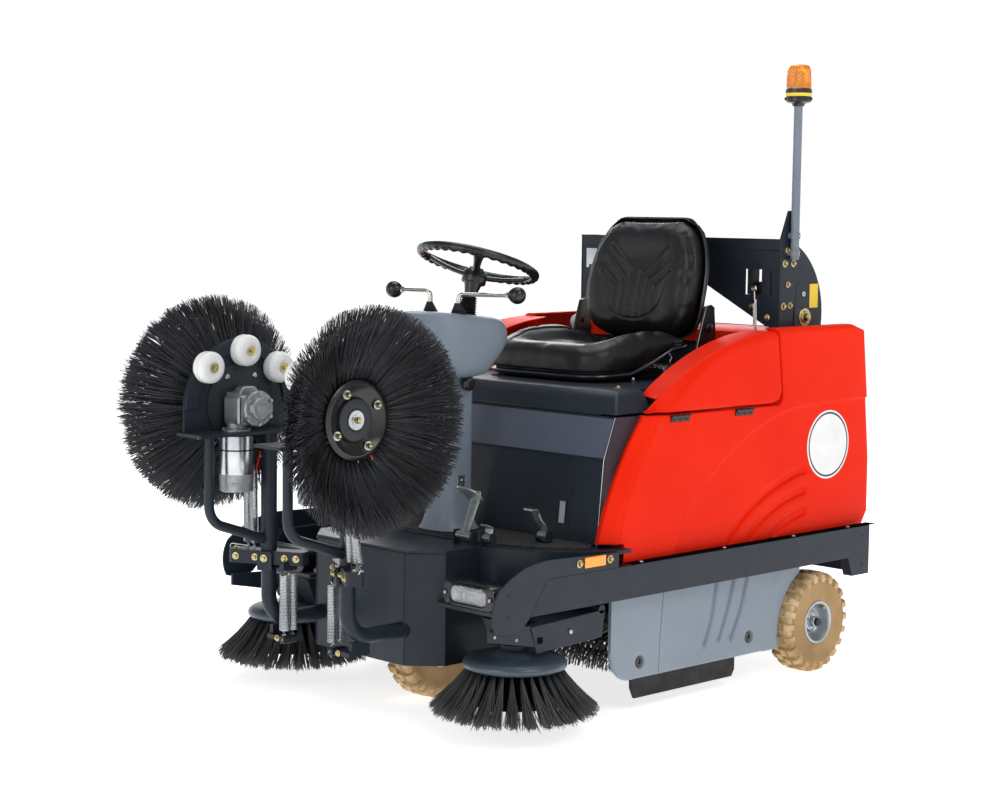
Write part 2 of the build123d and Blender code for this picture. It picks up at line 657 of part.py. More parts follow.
with BuildPart() as head_brush:
    with BuildSketch(Plane.XZ):
        Polygon((AXLE_R + RUN_GAP, 220), (118, 220), (BRUSH_R - 8, 318), (BRUSH_R, TIP_X - 4),
                (BRUSH_R - 42, TIP_X + 8), (104, 258), (AXLE_R + RUN_GAP, 258), align=None)
    revolve(axis=Axis.Z)
save_pair(Pos(0, HEAD_Y, HEAD_Z) * Rot(0, 90, 0) * head_brush.part, "head_brush")

SPRING_R = 12
with BuildPart() as arm_springs:
    with Locations((ARM_X - 62, -688 + 14, 294), (ARM_X - 62, -688 - 14, 294)):
        Cylinder(SPRING_R, 176)
save_pair(arm_springs.part, "arm_springs")

# ---- seat ----
BACK_PIVOT = (580, 990)
with BuildPart() as seat_pan:
    with BuildSketch(side_plane(-190)):
        Polygon((195, HOOD_Z + 2), (640, HOOD_Z + 2), (640, 872), (182, 872), align=None)
    extrude(amount=380)
    for side in (1, -1):
        with BuildSketch(side_plane(side * 246 - 4)):
            Polygon((400, 856), (594, 856), (614, 960), (606, 1046), (590, 1056), (568, 1052), (552, 1005),
                    (520, 905), (400, 880), align=None)
        extrude(amount=8)
        with Locations((side * 216, 530, 862)):
            Box(60, 120, 12)
        with Locations((side * 244, BACK_PIVOT[0], BACK_PIVOT[1])):
            Cylinder(8, 16, rotation=(0, 90, 0))
save(seat_pan.part, "seat_pan")

with BuildPart() as seat_cushion:
    with BuildSketch(side_plane(-SEAT_HALF_W)):
        Polygon((132, 882), (210, 876), (580, 876), (580, 944), (144, 950), align=None)
    extrude(amount=2 * SEAT_HALF_W)
    fillet(seat_cushion.edges().filter_by(Axis.Z), radius=30)
save(seat_cushion.part, "seat_cushion")

with BuildPart() as seat_back:
    with BuildSketch(side_plane(-SEAT_HALF_W)):
        Polygon((530, 962), (508, 1000), (558, 1296), (628, 1290), (648, 1150), (618, 962), align=None)
    extrude(amount=2 * SEAT_HALF_W)
    fillet(seat_back.edges().group_by(Axis.Z)[-1].filter_by(Axis.Y, reverse=True).sort_by(Axis.X)[0], 20)
save(seat_back.part, "seat_back")

with BuildPart() as seat_lever:
    with Locations((278, 400, 876)):
        Cylinder(9, 110, rotation=(90, 0, 0))
    with Locations((263, 452, 876)):
        Box(22, 10, 12)
save(seat_lever.part, "seat_lever")

# ---- visible bolts on the rails and guards ----
BOLT_SPOTS = [(-262, 434), (-148, 434)]
with BuildPart() as bolts:
    for side in (1, -1):
        for bolt_y, bolt_z in BOLT_SPOTS:
            with Locations((side * (RAIL_OUT + 4), bolt_y, bolt_z)):
                Cylinder(12, 8, rotation=(0, 90, 0))
save(bolts.part, "bolts")
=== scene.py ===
"""Looks of the ride-on sweeper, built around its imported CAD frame.

+X is the driver's left, -Y is the front and +Z is up. Shapes are written in millimetres in that frame,
and Shape.piece() makes metres of them. A piece of the right side is the mirror image of the left one.
"""

import random
from math import cos, hypot, pi, radians, sin, sqrt, tau

import bpy
import numpy as np
from mathutils import Matrix, Vector
from mathutils.geometry import delaunay_2d_cdt


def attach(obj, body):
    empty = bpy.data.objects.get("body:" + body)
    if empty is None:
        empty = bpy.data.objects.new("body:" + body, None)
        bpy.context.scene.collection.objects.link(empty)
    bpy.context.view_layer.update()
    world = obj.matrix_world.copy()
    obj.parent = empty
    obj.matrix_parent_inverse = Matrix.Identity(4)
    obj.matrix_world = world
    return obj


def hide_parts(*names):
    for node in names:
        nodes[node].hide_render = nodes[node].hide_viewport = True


MM = 0.001
SIDES = (("left", 1), ("right", -1))

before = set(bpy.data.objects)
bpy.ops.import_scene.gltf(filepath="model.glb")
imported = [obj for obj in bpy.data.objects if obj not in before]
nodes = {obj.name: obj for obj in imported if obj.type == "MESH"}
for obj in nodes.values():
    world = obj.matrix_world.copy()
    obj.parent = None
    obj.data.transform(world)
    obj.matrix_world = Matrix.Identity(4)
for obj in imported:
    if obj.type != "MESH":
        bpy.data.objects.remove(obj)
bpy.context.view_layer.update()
scene = bpy.context.scene


# ---------------------------------------------------------------- camera, light and floor

CAMERA_AT = (4.0269, -4.0027, 1.3257)
CAMERA_TURN, CAMERA_DIP, CAMERA_ROLL = radians(45.294), radians(5.345), radians(0.717)


def make_camera():
    """The photograph's viewpoint: turned towards the driver's left, dipped and rolled a little."""
    turn, dip, roll = CAMERA_TURN, CAMERA_DIP, CAMERA_ROLL
    ahead = Vector((-sin(turn) * cos(dip), cos(turn) * cos(dip), -sin(dip)))
    right = Vector((cos(turn), sin(turn), 0))
    up = right.cross(ahead)
    right, up = right * cos(roll) + up * sin(roll), up * cos(roll) - right * sin(roll)
    data = bpy.data.cameras.new("camera")
    data.lens, data.sensor_width = 73.64, 36
    camera = bpy.data.objects.new("camera", data)
    camera.matrix_world = Matrix.Translation(CAMERA_AT) @ Matrix((right, up, -ahead)).transposed().to_4x4()
    scene.collection.objects.link(camera)
    scene.camera = camera


def area_lamp(name, at, towards, size, watts):
    """A square soft box that faces a point."""
    data = bpy.data.lights.new(name, "AREA")
    data.size, data.energy = size, watts
    lamp = bpy.data.objects.new(name, data)
    lamp.location = at
    lamp.rotation_mode = "QUATERNION"
    lamp.rotation_quaternion = (Vector(towards) - Vector(at)).to_track_quat("-Z", "Y")
    scene.collection.objects.link(lamp)


make_camera()
area_lamp("key", (4.4, -0.6, 4.4), (0, 0, 0.5), 2.4, 68)
area_lamp("fill", (0.4, -5.6, 2.6), (0, 0, 0.6), 3.2, 60)
area_lamp("top", (-0.6, 0.8, 5.6), (0, 0, 0.6), 3.4, 105)
area_lamp("rear", (-3.6, 3.8, 2.8), (0, 0, 0.8), 2.6, 80)


def studio_world():
    """White at eye height all round, and darker overhead, where the soft boxes do the lighting."""
    world = bpy.data.worlds.new("studio")
    world.use_nodes = True
    tree = world.node_tree
    place = tree.nodes.new("ShaderNodeTexCoord")
    axes = tree.nodes.new("ShaderNodeSeparateXYZ")
    ramp = tree.nodes.new("ShaderNodeValToRGB")
    tree.links.new(place.outputs["Generated"], axes.inputs[0])
    tree.links.new(axes.outputs["Z"], ramp.inputs[0])
    tree.links.new(ramp.outputs[0], tree.nodes["Background"].inputs["Color"])
    tree.nodes["Background"].inputs["Strength"].default_value = 1.0
    ramp.color_ramp.elements[0].position = 0.16
    ramp.color_ramp.elements[0].color = (1.02, 1.02, 1.02, 1)
    ramp.color_ramp.elements[1].position = 0.34
    ramp.color_ramp.elements[1].color = (0.26, 0.27, 0.29, 1)
    return world


scene.world = studio_world()
scene.view_settings.view_transform = "Standard"


# ---------------------------------------------------------------- materials


def colour_of(code):
    """Linear colour of a web colour such as 3a444c."""
    parts = [int(code[i:i + 2], 16) / 255 for i in (0, 2, 4)]
    return tuple(c / 12.92 if c <= 0.04045 else ((c + 0.055) / 1.055) ** 2.4 for c in parts) + (1.0,)


class Finish:
    """A material under construction: its Principled shader and the nodes that feed it."""

    def __init__(self, name, metal=0.0, coat=0.0, specular=0.5):
        self.material = bpy.data.materials.new(name)
        self.material.use_nodes = True
        self.tree = self.material.node_tree
        self.shader = self.tree.nodes["Principled BSDF"]
        self.shader.inputs["Metallic"].default_value = metal
        self.shader.inputs["Coat Weight"].default_value = coat
        self.shader.inputs["Coat Roughness"].default_value = 0.12
        self.shader.inputs["Specular IOR Level"].default_value = specular
        self.place = self.node("ShaderNodeTexCoord").outputs["Object"]

    def node(self, kind, **settings):
        made = self.tree.nodes.new(kind)
        for key, value in settings.items():
            setattr(made, key, value)
        return made

    def link(self, source, target):
        self.tree.links.new(source, target)

    def cloud(self, scale, detail=3.0, stretch=None):
        """Noise in the object's own metres; stretch scales it along each axis."""
        place = self.place
        if stretch:
            mapping = self.node("ShaderNodeMapping")
            mapping.inputs["Scale"].default_value = stretch
            self.link(place, mapping.inputs["Vector"])
            place = mapping.outputs["Vector"]
        noise = self.node("ShaderNodeTexNoise")
        noise.inputs["Scale"].default_value = scale
        noise.inputs["Detail"].default_value = detail
        self.link(place, noise.inputs["Vector"])
        return noise.outputs["Fac"]

    def cells(self, scale, feature="F1"):
        cell = self.node("ShaderNodeTexVoronoi", feature=feature)
        cell.inputs["Scale"].default_value = scale
        self.link(self.place, cell.inputs["Vector"])
        return cell.outputs["Distance"]

    def spread(self, value, low, high, start=0.3, end=0.7):
        """Value from start to end, carried over to low to high."""
        ramp = self.node("ShaderNodeMapRange")
        for key, number in (("From Min", start), ("From Max", end), ("To Min", low), ("To Max", high)):
            ramp.inputs[key].default_value = number
        self.link(value, ramp.inputs["Value"])
        return ramp.outputs["Result"]

    def blend(self, factor, first, second):
        """Two colours, or colour outputs, mixed by factor."""
        mix = self.node("ShaderNodeMix", data_type="RGBA")
        self.link(factor, mix.inputs["Factor"])
        for key, colour in (("A", first), ("B", second)):
            socket = next(s for s in mix.inputs if s.name == key and s.type == "RGBA")
            if isinstance(colour, tuple):
                socket.default_value = colour
            else:
                self.link(colour, socket)
        return next(s for s in mix.outputs if s.type == "RGBA")

    def colour(self, output):
        self.link(output, self.shader.inputs["Base Color"])

    def rough(self, output):
        self.link(output, self.shader.inputs["Roughness"])

    def bump(self, *layers):
        """Layers of (height output, depth in metres), added one on another."""
        normal = None
        for height, depth in layers:
            bump = self.node("ShaderNodeBump")
            bump.inputs["Strength"].default_value = 1.0
            bump.inputs["Distance"].default_value = depth
            self.link(height, bump.inputs["Height"])
            if normal:
                self.link(normal, bump.inputs["Normal"])
            normal = bump.outputs["Normal"]
        self.link(normal, self.shader.inputs["Normal"])


def plain_finish(name, dark, light, rough, grain=700.0, depth=0.00012, clouds=5.0, **settings):
    """Two close tones in soft clouds, roughness that varies with them, and a fine grain."""
    f = Finish(name, **settings)
    soft = f.cloud(clouds, 4.0)
    fine = f.cloud(grain, 2.0)
    f.colour(f.blend(f.spread(soft, 0, 1), colour_of(dark), colour_of(light)))
    f.rough(f.spread(f.cloud(clouds * 6, 5.0), *rough))
    f.bump((fine, depth))
    return f.material


def speckled_finish(name, dark, light, rough, scale=420.0, share=(0.56, 0.64), depth=0.0008):
    """A dark ground with small light flecks, for matting and dusty rubber."""
    f = Finish(name)
    flecks = f.cloud(scale, 3.0)
    f.colour(f.blend(f.spread(flecks, 0, 1, *share), colour_of(dark), colour_of(light)))
    f.rough(f.spread(flecks, *rough))
    f.bump((flecks, depth))
    return f.material


def brushed_finish(name, dark, light, rough, stretch, depth=0.00006, **settings):
    """Metal with fine lines along one way."""
    f = Finish(name, metal=1.0, **settings)
    lines = f.cloud(260.0, 3.0, stretch)
    f.colour(f.blend(f.spread(f.cloud(9.0), 0, 1), colour_of(dark), colour_of(light)))
    f.rough(f.spread(lines, *rough))
    f.bump((lines, depth))
    return f.material


def bristle_finish(name, dark, light, rough):
    """Nylon strands: each has its own tone, kept on the mesh."""
    f = Finish(name, specular=0.55)
    tone = f.node("ShaderNodeAttribute", attribute_name="tone").outputs["Fac"]
    f.colour(f.blend(tone, colour_of(dark), colour_of(light)))
    f.rough(f.spread(f.cloud(60.0), *rough))
    f.bump((f.cloud(900.0), 0.0001))
    return f.material


def lens_finish(name, tint, light, rough, transmission, ribs=0.0):
    """Clear or coloured plastic that lets light through."""
    f = Finish(name, coat=0.4)
    f.shader.inputs["Transmission Weight"].default_value = transmission
    f.shader.inputs["IOR"].default_value = 1.46
    f.colour(f.blend(f.spread(f.cloud(30.0), 0, 1), colour_of(tint), colour_of(light)))
    f.rough(f.spread(f.cloud(80.0), *rough))
    f.bump((f.cells(260.0), ribs if ribs else 0.0001))
    return f.material


def tyre_finish():
    """Tan non-marking rubber, dirtier in broad patches."""
    f = Finish("tan_rubber")
    dirt = f.spread(f.cloud(16.0, 6.0), 0, 1, 0.42, 0.66)
    base = f.blend(f.spread(f.cloud(5.0), 0, 1), colour_of("c2a273"), colour_of("d6bb90"))
    f.colour(f.blend(dirt, base, colour_of("a88a60")))
    f.rough(f.spread(f.cloud(40.0, 5.0), 0.62, 0.82))
    f.bump((f.cloud(320.0, 4.0), 0.0005), (f.cloud(36.0, 3.0), 0.0015))
    return f.material


def vinyl_finish():
    """Black seat vinyl: a fine leather grain with soft wrinkles and a satin gloss."""
    f = Finish("vinyl", coat=0.06, specular=0.4)
    f.colour(f.blend(f.spread(f.cloud(7.0, 4.0), 0, 1), colour_of("090a0c"), colour_of("131417")))
    f.rough(f.spread(f.cloud(30.0, 5.0), 0.36, 0.47))
    f.bump((f.cells(620.0), 0.0002), (f.cloud(26.0, 4.0, (1.0, 2.4, 1.0)), 0.0012))
    return f.material


def reflector_finish():
    """Orange reflector: a grid of small prisms under a glossy face, with a faint painted glow."""
    f = Finish("orange_prism", coat=0.7)
    prisms = f.cells(430.0)
    f.colour(f.blend(f.spread(prisms, 0, 1, 0.1, 0.6), colour_of("ff8c00"), colour_of("ffa21a")))
    f.rough(f.spread(prisms, 0.12, 0.3))
    f.bump((prisms, 0.0006))
    # Painted glow: a little emission, though the reflector is no lamp.
    f.shader.inputs["Emission Color"].default_value = colour_of("ff8400")
    f.shader.inputs["Emission Strength"].default_value = 0.25
    return f.material


PAINT = plain_finish("anthracite_powder", "19212b", "212a35", (0.4, 0.5), grain=1100.0, depth=0.00014,
                     coat=0.08,
                     specular=0.28)
# A lighter copy of the anthracite paint for the front cover's upper face: painted highlight where the top
# light falls.
PAINT_LIT_TOP = plain_finish("anthracite_painted_highlight", "4a515f", "545b6a", (0.42, 0.52), grain=1100.0, depth=0.00014,
                           specular=0.4)
# Near-black matte with no specular: painted shade for the rail gap, the side arm's hole and the inside of the
# side brush's tufts.
SHADE_SHEET = plain_finish("seam_shadow", "0f0d0d", "171414", (0.9, 1.0), specular=0.0)
PAINT_DARK = plain_finish("anthracite_dark", "171b20", "20262c", (0.4, 0.52), grain=1100.0, depth=0.00014)
# A dark plum copy of the red for the red side's inner wall beside the front cover: painted shade.
RED_WALL_SHADE = plain_finish("inner_cover_plum", "33262e", "3f323a", (0.45, 0.6), specular=0.3)
RED = plain_finish("red_moulding", "ea2000", "f62c02", (0.42, 0.54), grain=900.0, depth=0.0001, clouds=2.6,
                   specular=0.09)
GREY = plain_finish("grey_moulding", "75818d", "808c98", (0.4, 0.52), grain=900.0, depth=0.0001, clouds=3.0)
SKIRT_GREY = plain_finish("skirt_moulding", "7c8894", "88949e", (0.44, 0.56), grain=900.0, depth=0.0001,
                          clouds=3.0)
MAST_GREY = plain_finish("mast_grey", "6d7884", "7a8591", (0.36, 0.46), grain=900.0, depth=0.0001)
KNOB_GREY = plain_finish("knob_grey", "b4b6b8", "c6c8ca", (0.4, 0.5), grain=900.0, depth=0.00008)
RUBBER = plain_finish("black_rubber", "0d0d0e", "19191a", (0.55, 0.75), grain=500.0, depth=0.0002)
PLASTIC = plain_finish("black_plastic", "0b0b0c", "161617", (0.22, 0.36), grain=900.0, depth=0.00005,
                       coat=0.2)
DISC_BLUE = plain_finish("brush_disc_plastic", "3c4954", "414e59", (0.3, 0.36), grain=700.0, depth=0.00006,
                         coat=0.2)
TAN = tyre_finish()
SILVER = plain_finish("silver_lacquer", "a9b0b5", "c0c6ca", (0.28, 0.42), grain=1300.0, depth=0.00008,
                      metal=0.75)
CHROME = plain_finish("chrome_plate", "b9b7ae", "d6d4cc", (0.1, 0.2), grain=300.0, depth=0.00003, metal=1.0)
ZINC = brushed_finish("bright_zinc", "a8adb0", "d2d6d8", (0.22, 0.38), (1.0, 1.0, 1.0))
PEDAL_ZINC = plain_finish("zinc_plate", "9fa9a6", "c4ccc8", (0.25, 0.45), grain=260.0, depth=0.0001,
                          metal=0.9, clouds=26.0)
BRASS = plain_finish("passivated_bolt", "b39c5e", "d8cfa0", (0.25, 0.42), grain=300.0, depth=0.00008,
                     metal=1.0, clouds=90.0)
CAST = plain_finish("cast_aluminium", "8d9194", "b5b9bc", (0.38, 0.55), grain=420.0, depth=0.0004, metal=0.9,
                    clouds=30.0)
POLISHED = brushed_finish("turned_aluminium", "b4b8bb", "dfe3e5", (0.16, 0.28), (0.2, 0.2, 6.0))
WHITE = plain_finish("white_nylon", "e9e9e7", "f6f6f5", (0.3, 0.42), grain=600.0, depth=0.00006, clouds=12.0)
MAT = speckled_finish("speckled_mat", "1b1718", "6e6361", (0.7, 0.95), scale=260.0, share=(0.55, 0.72))
BRISTLE = bristle_finish("head_bristle", "0a0b0d", "34363b", (0.36, 0.5))
SIDE_BRISTLE = bristle_finish("side_bristle", "1d1d1f", "5a5a5c", (0.42, 0.56))
VINYL = vinyl_finish()
PIPING = plain_finish("seat_piping", "17181a", "3a3c3f", (0.25, 0.4), grain=500.0, depth=0.00006, coat=0.3)
ORANGE = reflector_finish()
AMBER = lens_finish("amber_lens", "ff8200", "ffa321", (0.08, 0.2), 0.5)
CLEAR = lens_finish("clear_lens", "f2f5f7", "ffffff", (0.03, 0.1), 0.85, ribs=0.0006)
YELLOW = plain_finish("yellow_label", "f2cb1d", "f7d83c", (0.35, 0.5))
FLOOR = plain_finish("studio_floor", "f3f3f3", "f7f7f7", (0.8, 0.95), clouds=0.4)
FLOOR_SHADER = FLOOR.node_tree.nodes["Principled BSDF"]
FLOOR_SHADER.inputs["Emission Color"].default_value = (1.0, 1.0, 1.0, 1.0)
FLOOR_SHADER.inputs["Emission Strength"].default_value = 0.75
FLOOR_SHADER.inputs["Specular IOR Level"].default_value = 0.1

SLOT_GROUPS = {
    "anthracite_paint": (PAINT, PAINT_DARK, RED_WALL_SHADE, MAST_GREY),
    "passivated_bolt": (BRASS,),
    "cast_block": (CAST,),
    "grey_plastic": (DISC_BLUE, GREY, SKIRT_GREY, KNOB_GREY),
    "black_plastic": (PLASTIC, CLEAR),
    "red_plastic": (RED,),
    "black_rubber": (RUBBER, SHADE_SHEET),
    "white_roller": (WHITE,),
    "amber_lens": (YELLOW, AMBER),
    "zinc_steel": (ZINC, PEDAL_ZINC),
    "bare_aluminium": (POLISHED, SILVER),
    "chrome_rod": (CHROME,),
    "orange_reflector": (ORANGE,),
    "black_vinyl": (PIPING,),
    "tan_tyre": (TAN,),
}
SLOT_OF = {finish.name: slot for slot, finishes in SLOT_GROUPS.items() for finish in finishes}

LEFT, RIGHT, REAR, FRONT, UP = (1, 0, 0), (-1, 0, 0), (0, 1, 0), (0, -1, 0), (0, 0, 1)


# ---------------------------------------------------------------- shapes


def across(along):
    """Two unit directions at right angles to a direction and to each other."""
    n = Vector(along).normalized()
    first = n.cross(UP) if abs(n.z) < 0.9 else n.cross(REAR)
    first.normalize()
    return first, n.cross(first)


def circle(radius, count, start=0.0):
    turns = [start + tau * i / count for i in range(count)]
    return [(radius * cos(turn), radius * sin(turn)) for turn in turns]


def smooth_path(points, per_span=8):
    """A smooth line through a few points, as Catmull-Rom does it."""
    points = [Vector(p) for p in points]
    padded = [2 * points[0] - points[1], *points, 2 * points[-1] - points[-2]]
    line = []
    for i in range(len(points) - 1):
        a, b, c, d = padded[i:i + 4]
        for step in range(per_span):
            t = step / per_span
            line.append(0.5 * (2 * b + (c - a) * t + (2 * a - 5 * b + 4 * c - d) * t * t
                               + (3 * b - a - 3 * c + d) * t ** 3))
    return line + [points[-1]]


def arc_through(first, middle, last, count):
    """Points of the flat circular arc through three (a, b) points."""
    (ax, ay), (bx, by), (cx, cy) = first, middle, last
    d = 2 * (ax * (by - cy) + bx * (cy - ay) + cx * (ay - by))
    aa, bb, cc = ax * ax + ay * ay, bx * bx + by * by, cx * cx + cy * cy
    ux = (aa * (by - cy) + bb * (cy - ay) + cc * (ay - by)) / d
    uy = (aa * (cx - bx) + bb * (ax - cx) + cc * (bx - ax)) / d
    start, bend, stop = (np.arctan2(y - uy, x - ux) for x, y in (first, middle, last))
    turn = (stop - start) % tau
    if not (bend - start) % tau < turn:
        turn -= tau
    radius = hypot(ax - ux, ay - uy)
    return [(ux + radius * cos(start + turn * i / count), uy + radius * sin(start + turn * i / count))
            for i in range(count + 1)]


def inset(outline, distance):
    """A flat outline moved inwards; outlines run counter-clockwise."""
    moved = []
    for i, point in enumerate(outline):
        a, b, c = Vector(outline[i - 1]), Vector(point), Vector(outline[(i + 1) % len(outline)])
        before, after = (b - a).normalized(), (c - b).normalized()
        mid = Vector((-before.y - after.y, before.x + after.x))
        if mid.length < 1e-6:
            moved.append(tuple(b))
            continue
        mid.normalize()
        reach = max(0.35, mid.dot(Vector((-before.y, before.x))))
        moved.append(tuple(b + mid * distance / reach))
    return moved


def rounded(outline, radius, count=5):
    """A flat outline with its corners cut to arcs."""
    result = []
    for i, point in enumerate(outline):
        a, b, c = Vector(outline[i - 1]), Vector(point), Vector(outline[(i + 1) % len(outline)])
        reach = min(radius, 0.45 * (a - b).length, 0.45 * (c - b).length)
        start, stop = b + (a - b).normalized() * reach, b + (c - b).normalized() * reach
        for k in range(count + 1):
            t = k / count
            result.append(tuple(start * (1 - t) ** 2 + b * 2 * t * (1 - t) + stop * t * t))
    return result


def rectangle(width, height, radius=0.0):
    w, h = width / 2, height / 2
    corners = [(-w, -h), (w, -h), (w, h), (-w, h)]
    return rounded(corners, radius) if radius else corners


class Shape:
    """Points in millimetres and faces, gathered from simple parts and made into one mesh piece."""

    def __init__(self):
        self.points, self.faces, self.slots = [], [], []

    def add(self, points, faces, slot=0):
        first = len(self.points)
        self.points += [tuple(p) for p in points]
        self.faces += [tuple(first + i for i in face) for face in faces]
        self.slots += [slot] * len(faces)
        return self

    def skin(self, rings, slot=0, caps=True, loop=False):
        """Faces from ring to ring; a ring of one point closes to a tip."""
        points, faces, starts = [], [], []
        for ring in rings:
            starts.append(len(points))
            points += list(ring)
        pairs = list(zip(range(len(rings)), range(1, len(rings))))
        if loop:
            pairs.append((len(rings) - 1, 0))
        for i, j in pairs:
            m, n = len(rings[i]), len(rings[j])
            a, b = starts[i], starts[j]
            for k in range(max(m, n)):
                l = (k + 1) % max(m, n)
                if m == 1:
                    faces.append((a, b + l, b + k))
                elif n == 1:
                    faces.append((a + k, a + l, b))
                else:
                    faces.append((a + k, a + l, b + l, b + k))
        if caps and not loop:
            if len(rings[0]) > 2:
                faces.append(tuple(reversed(range(len(rings[0])))))
            if len(rings[-1]) > 2:
                faces.append(tuple(starts[-1] + k for k in range(len(rings[-1]))))
        return self.add(points, faces, slot)

    def lathe(self, profile, at, along, steps=32, slot=0, caps=True):
        """A profile of (height along, radius) points turned about an axis."""
        u, v = across(along)
        n, at = Vector(along).normalized(), Vector(at)
        rings = []
        for height, radius in profile:
            centre = at + n * height
            if radius < 1e-6:
                rings.append([centre])
            else:
                rings.append([centre + u * a + v * b for a, b in circle(radius, steps)])
        return self.skin(rings, slot, caps)

    def tube(self, path, radius, sides=10, slot=0, caps=True, loop=False):
        """A round bar along a path; radius is a number or one for each point."""
        path = [Vector(p) for p in path]
        radii = radius if hasattr(radius, "__len__") else [radius] * len(path)
        count = len(path)
        tangents = []
        for i in range(count):
            before = path[i - 1] if (i or loop) else path[0]
            after = path[(i + 1) % count] if (i < count - 1 or loop) else path[-1]
            tangents.append((after - before).normalized())
        u, _ = across(tangents[0])
        rings = []
        for point, tangent, r in zip(path, tangents, radii):
            u = (u - tangent * u.dot(tangent)).normalized()
            v = tangent.cross(u)
            rings.append([point + u * a + v * b for a, b in circle(r, sides)])
        return self.skin(rings, slot, caps, loop)

    def slab(self, outline, at, right, up, thick, bevel=0.8, slot=0):
        """A flat outline in the plane of right and up, thick along their normal, with softened edges."""
        at, right, up = Vector(at), Vector(right).normalized(), Vector(up).normalized()
        n = right.cross(up)
        small = inset(outline, bevel)

        def ring(flat, depth):
            return [at + right * a + up * b + n * depth for a, b in flat]

        return self.skin([ring(small, 0), ring(outline, bevel), ring(outline, thick - bevel),
                          ring(small, thick)],
                         slot)

    def block(self, size, at, slot=0, bevel=0.8, turn=None):
        """A box of this size about a point, with softened edges; turn is a rotation matrix."""
        turn = turn or Matrix.Identity(3)
        width, depth, height = size
        base = Vector(at) - turn @ Vector((0, 0, height / 2))
        return self.slab(rectangle(width, depth), base, turn @ Vector(LEFT), turn @ Vector(REAR),
                         height, bevel, slot)

    def ball(self, at, radius, slot=0, rows=10, steps=20, squash=1.0):
        profile = [(-radius * squash * cos(pi * i / rows),
                    radius * sin(pi * i / rows)) for i in range(rows + 1)]
        return self.lathe(profile, at, UP, steps, slot)

    def hex_bolt(self, at, along, size, slot=0, height=None, washer=True):
        """A hexagon head over a washer, standing on a face along its normal."""
        height = height or size * 0.6
        if washer:
            self.lathe([(0, size * 0.98), (size * 0.14, size * 0.98), (size * 0.18, size * 0.9),
                        (size * 0.18, 0)],
                       at, along, 20, slot)
        top = Vector(at) + Vector(along).normalized() * size * 0.16
        self.lathe([(0, size * 0.62), (height * 0.75, size * 0.62), (height, size * 0.5), (height, 0)],
                   top, along, 6, slot)
        return self.lathe([(height, size * 0.3), (height * 1.12, size * 0.24), (height * 1.12, 0)],
                          top, along, 10, slot)

    def dome_screw(self, at, along, radius, slot=0):
        """A domed head with a small dimple."""
        return self.lathe([(0, radius), (radius * 0.2, radius), (radius * 0.48, radius * 0.78),
                           (radius * 0.62, radius * 0.42), (radius * 0.62, radius * 0.26),
                           (radius * 0.4, radius * 0.22), (radius * 0.4, 0)], at, along, 18, slot)

    def mirrored(self):
        """The same shape on the other side of the machine."""
        other = Shape()
        other.points = [(-x, y, z) for x, y, z in self.points]
        other.faces = [tuple(reversed(face)) for face in self.faces]
        other.slots = list(self.slots)
        return other

    def piece(self, name, body, materials, smooth=38.0, slot=None, stands_for=()):
        """The finished mesh object, riding on its body. The slot argument is not used."""
        mesh = bpy.data.meshes.new(name)
        mesh.from_pydata([(x * MM, y * MM, z * MM) for x, y, z in self.points], [], self.faces)
        materials = materials if isinstance(materials, (list, tuple)) else [materials]
        for material in materials:
            mesh.materials.append(material)
        mesh.polygons.foreach_set("material_index", self.slots)
        mesh.polygons.foreach_set("use_smooth", [True] * len(self.faces))
        mesh.set_sharp_from_angle(angle=radians(smooth))
        mesh.validate()
        obj = bpy.data.objects.new(name, mesh)
        scene.collection.objects.link(obj)
        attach(obj, body)
        slot = SLOT_OF.get(materials[0].name) if slot is None else slot
        if stands_for:
            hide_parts(*stands_for)
        return obj


def both_sides(shape, name, body, materials, stands_for=(), **settings):
    """A piece on the left and its mirror image on the right. {} in a name is the side."""
    for side, sign in SIDES:
        made = shape if sign > 0 else shape.mirrored()
        made.piece(name.format(side), body.format(side), materials,
                   stands_for=[n.format(side) for n in stands_for], **settings)


def modify(obj, kind, **settings):
    made = obj.modifiers.new(kind.lower(), kind)
    for key, value in settings.items():
        setattr(made, key, value)
    return made


def keep(node, material, bevel=1.2):
    """A CAD node that stays: its material, and softened edges that catch the light."""
    obj = nodes[node]
    mesh = obj.data
    mesh.materials.clear()
    mesh.materials.append(material)
    if "custom_normal" in mesh.attributes:
        mesh.attributes.remove(mesh.attributes["custom_normal"])
    mesh.polygons.foreach_set("use_smooth", [True] * len(mesh.polygons))
    modify(obj, "WELD", merge_threshold=0.00001)
    modify(obj, "DECIMATE", decimate_type="DISSOLVE", angle_limit=radians(0.6))
    modify(obj, "BEVEL", width=bevel * MM, segments=2, limit_method="ANGLE", angle_limit=radians(38),
           harden_normals=True, use_clamp_overlap=True)


def floor():
    mesh = bpy.data.meshes.new("floor")
    reach = 30.0
    mesh.from_pydata([(-reach, -reach, 0), (reach, -reach, 0), (reach, reach, 0), (-reach, reach, 0)], [],
                     [(0, 1, 2, 3)])
    mesh.materials.append(FLOOR)
    obj = bpy.data.objects.new("floor", mesh)
    scene.collection.objects.link(obj)


floor()


# ---------------------------------------------------------------- moulded panels in relief


def resampled(line, step):
    """Points along a line, no further apart than step."""
    points = [tuple(line[0])]
    for (ax, ay), (bx, by) in zip(line, line[1:]):
        count = max(1, round(hypot(bx - ax, by - ay) / step))
        points += [(ax + (bx - ax) * i / count, ay + (by - ay) * i / count) for i in range(1, count + 1)]
    return points


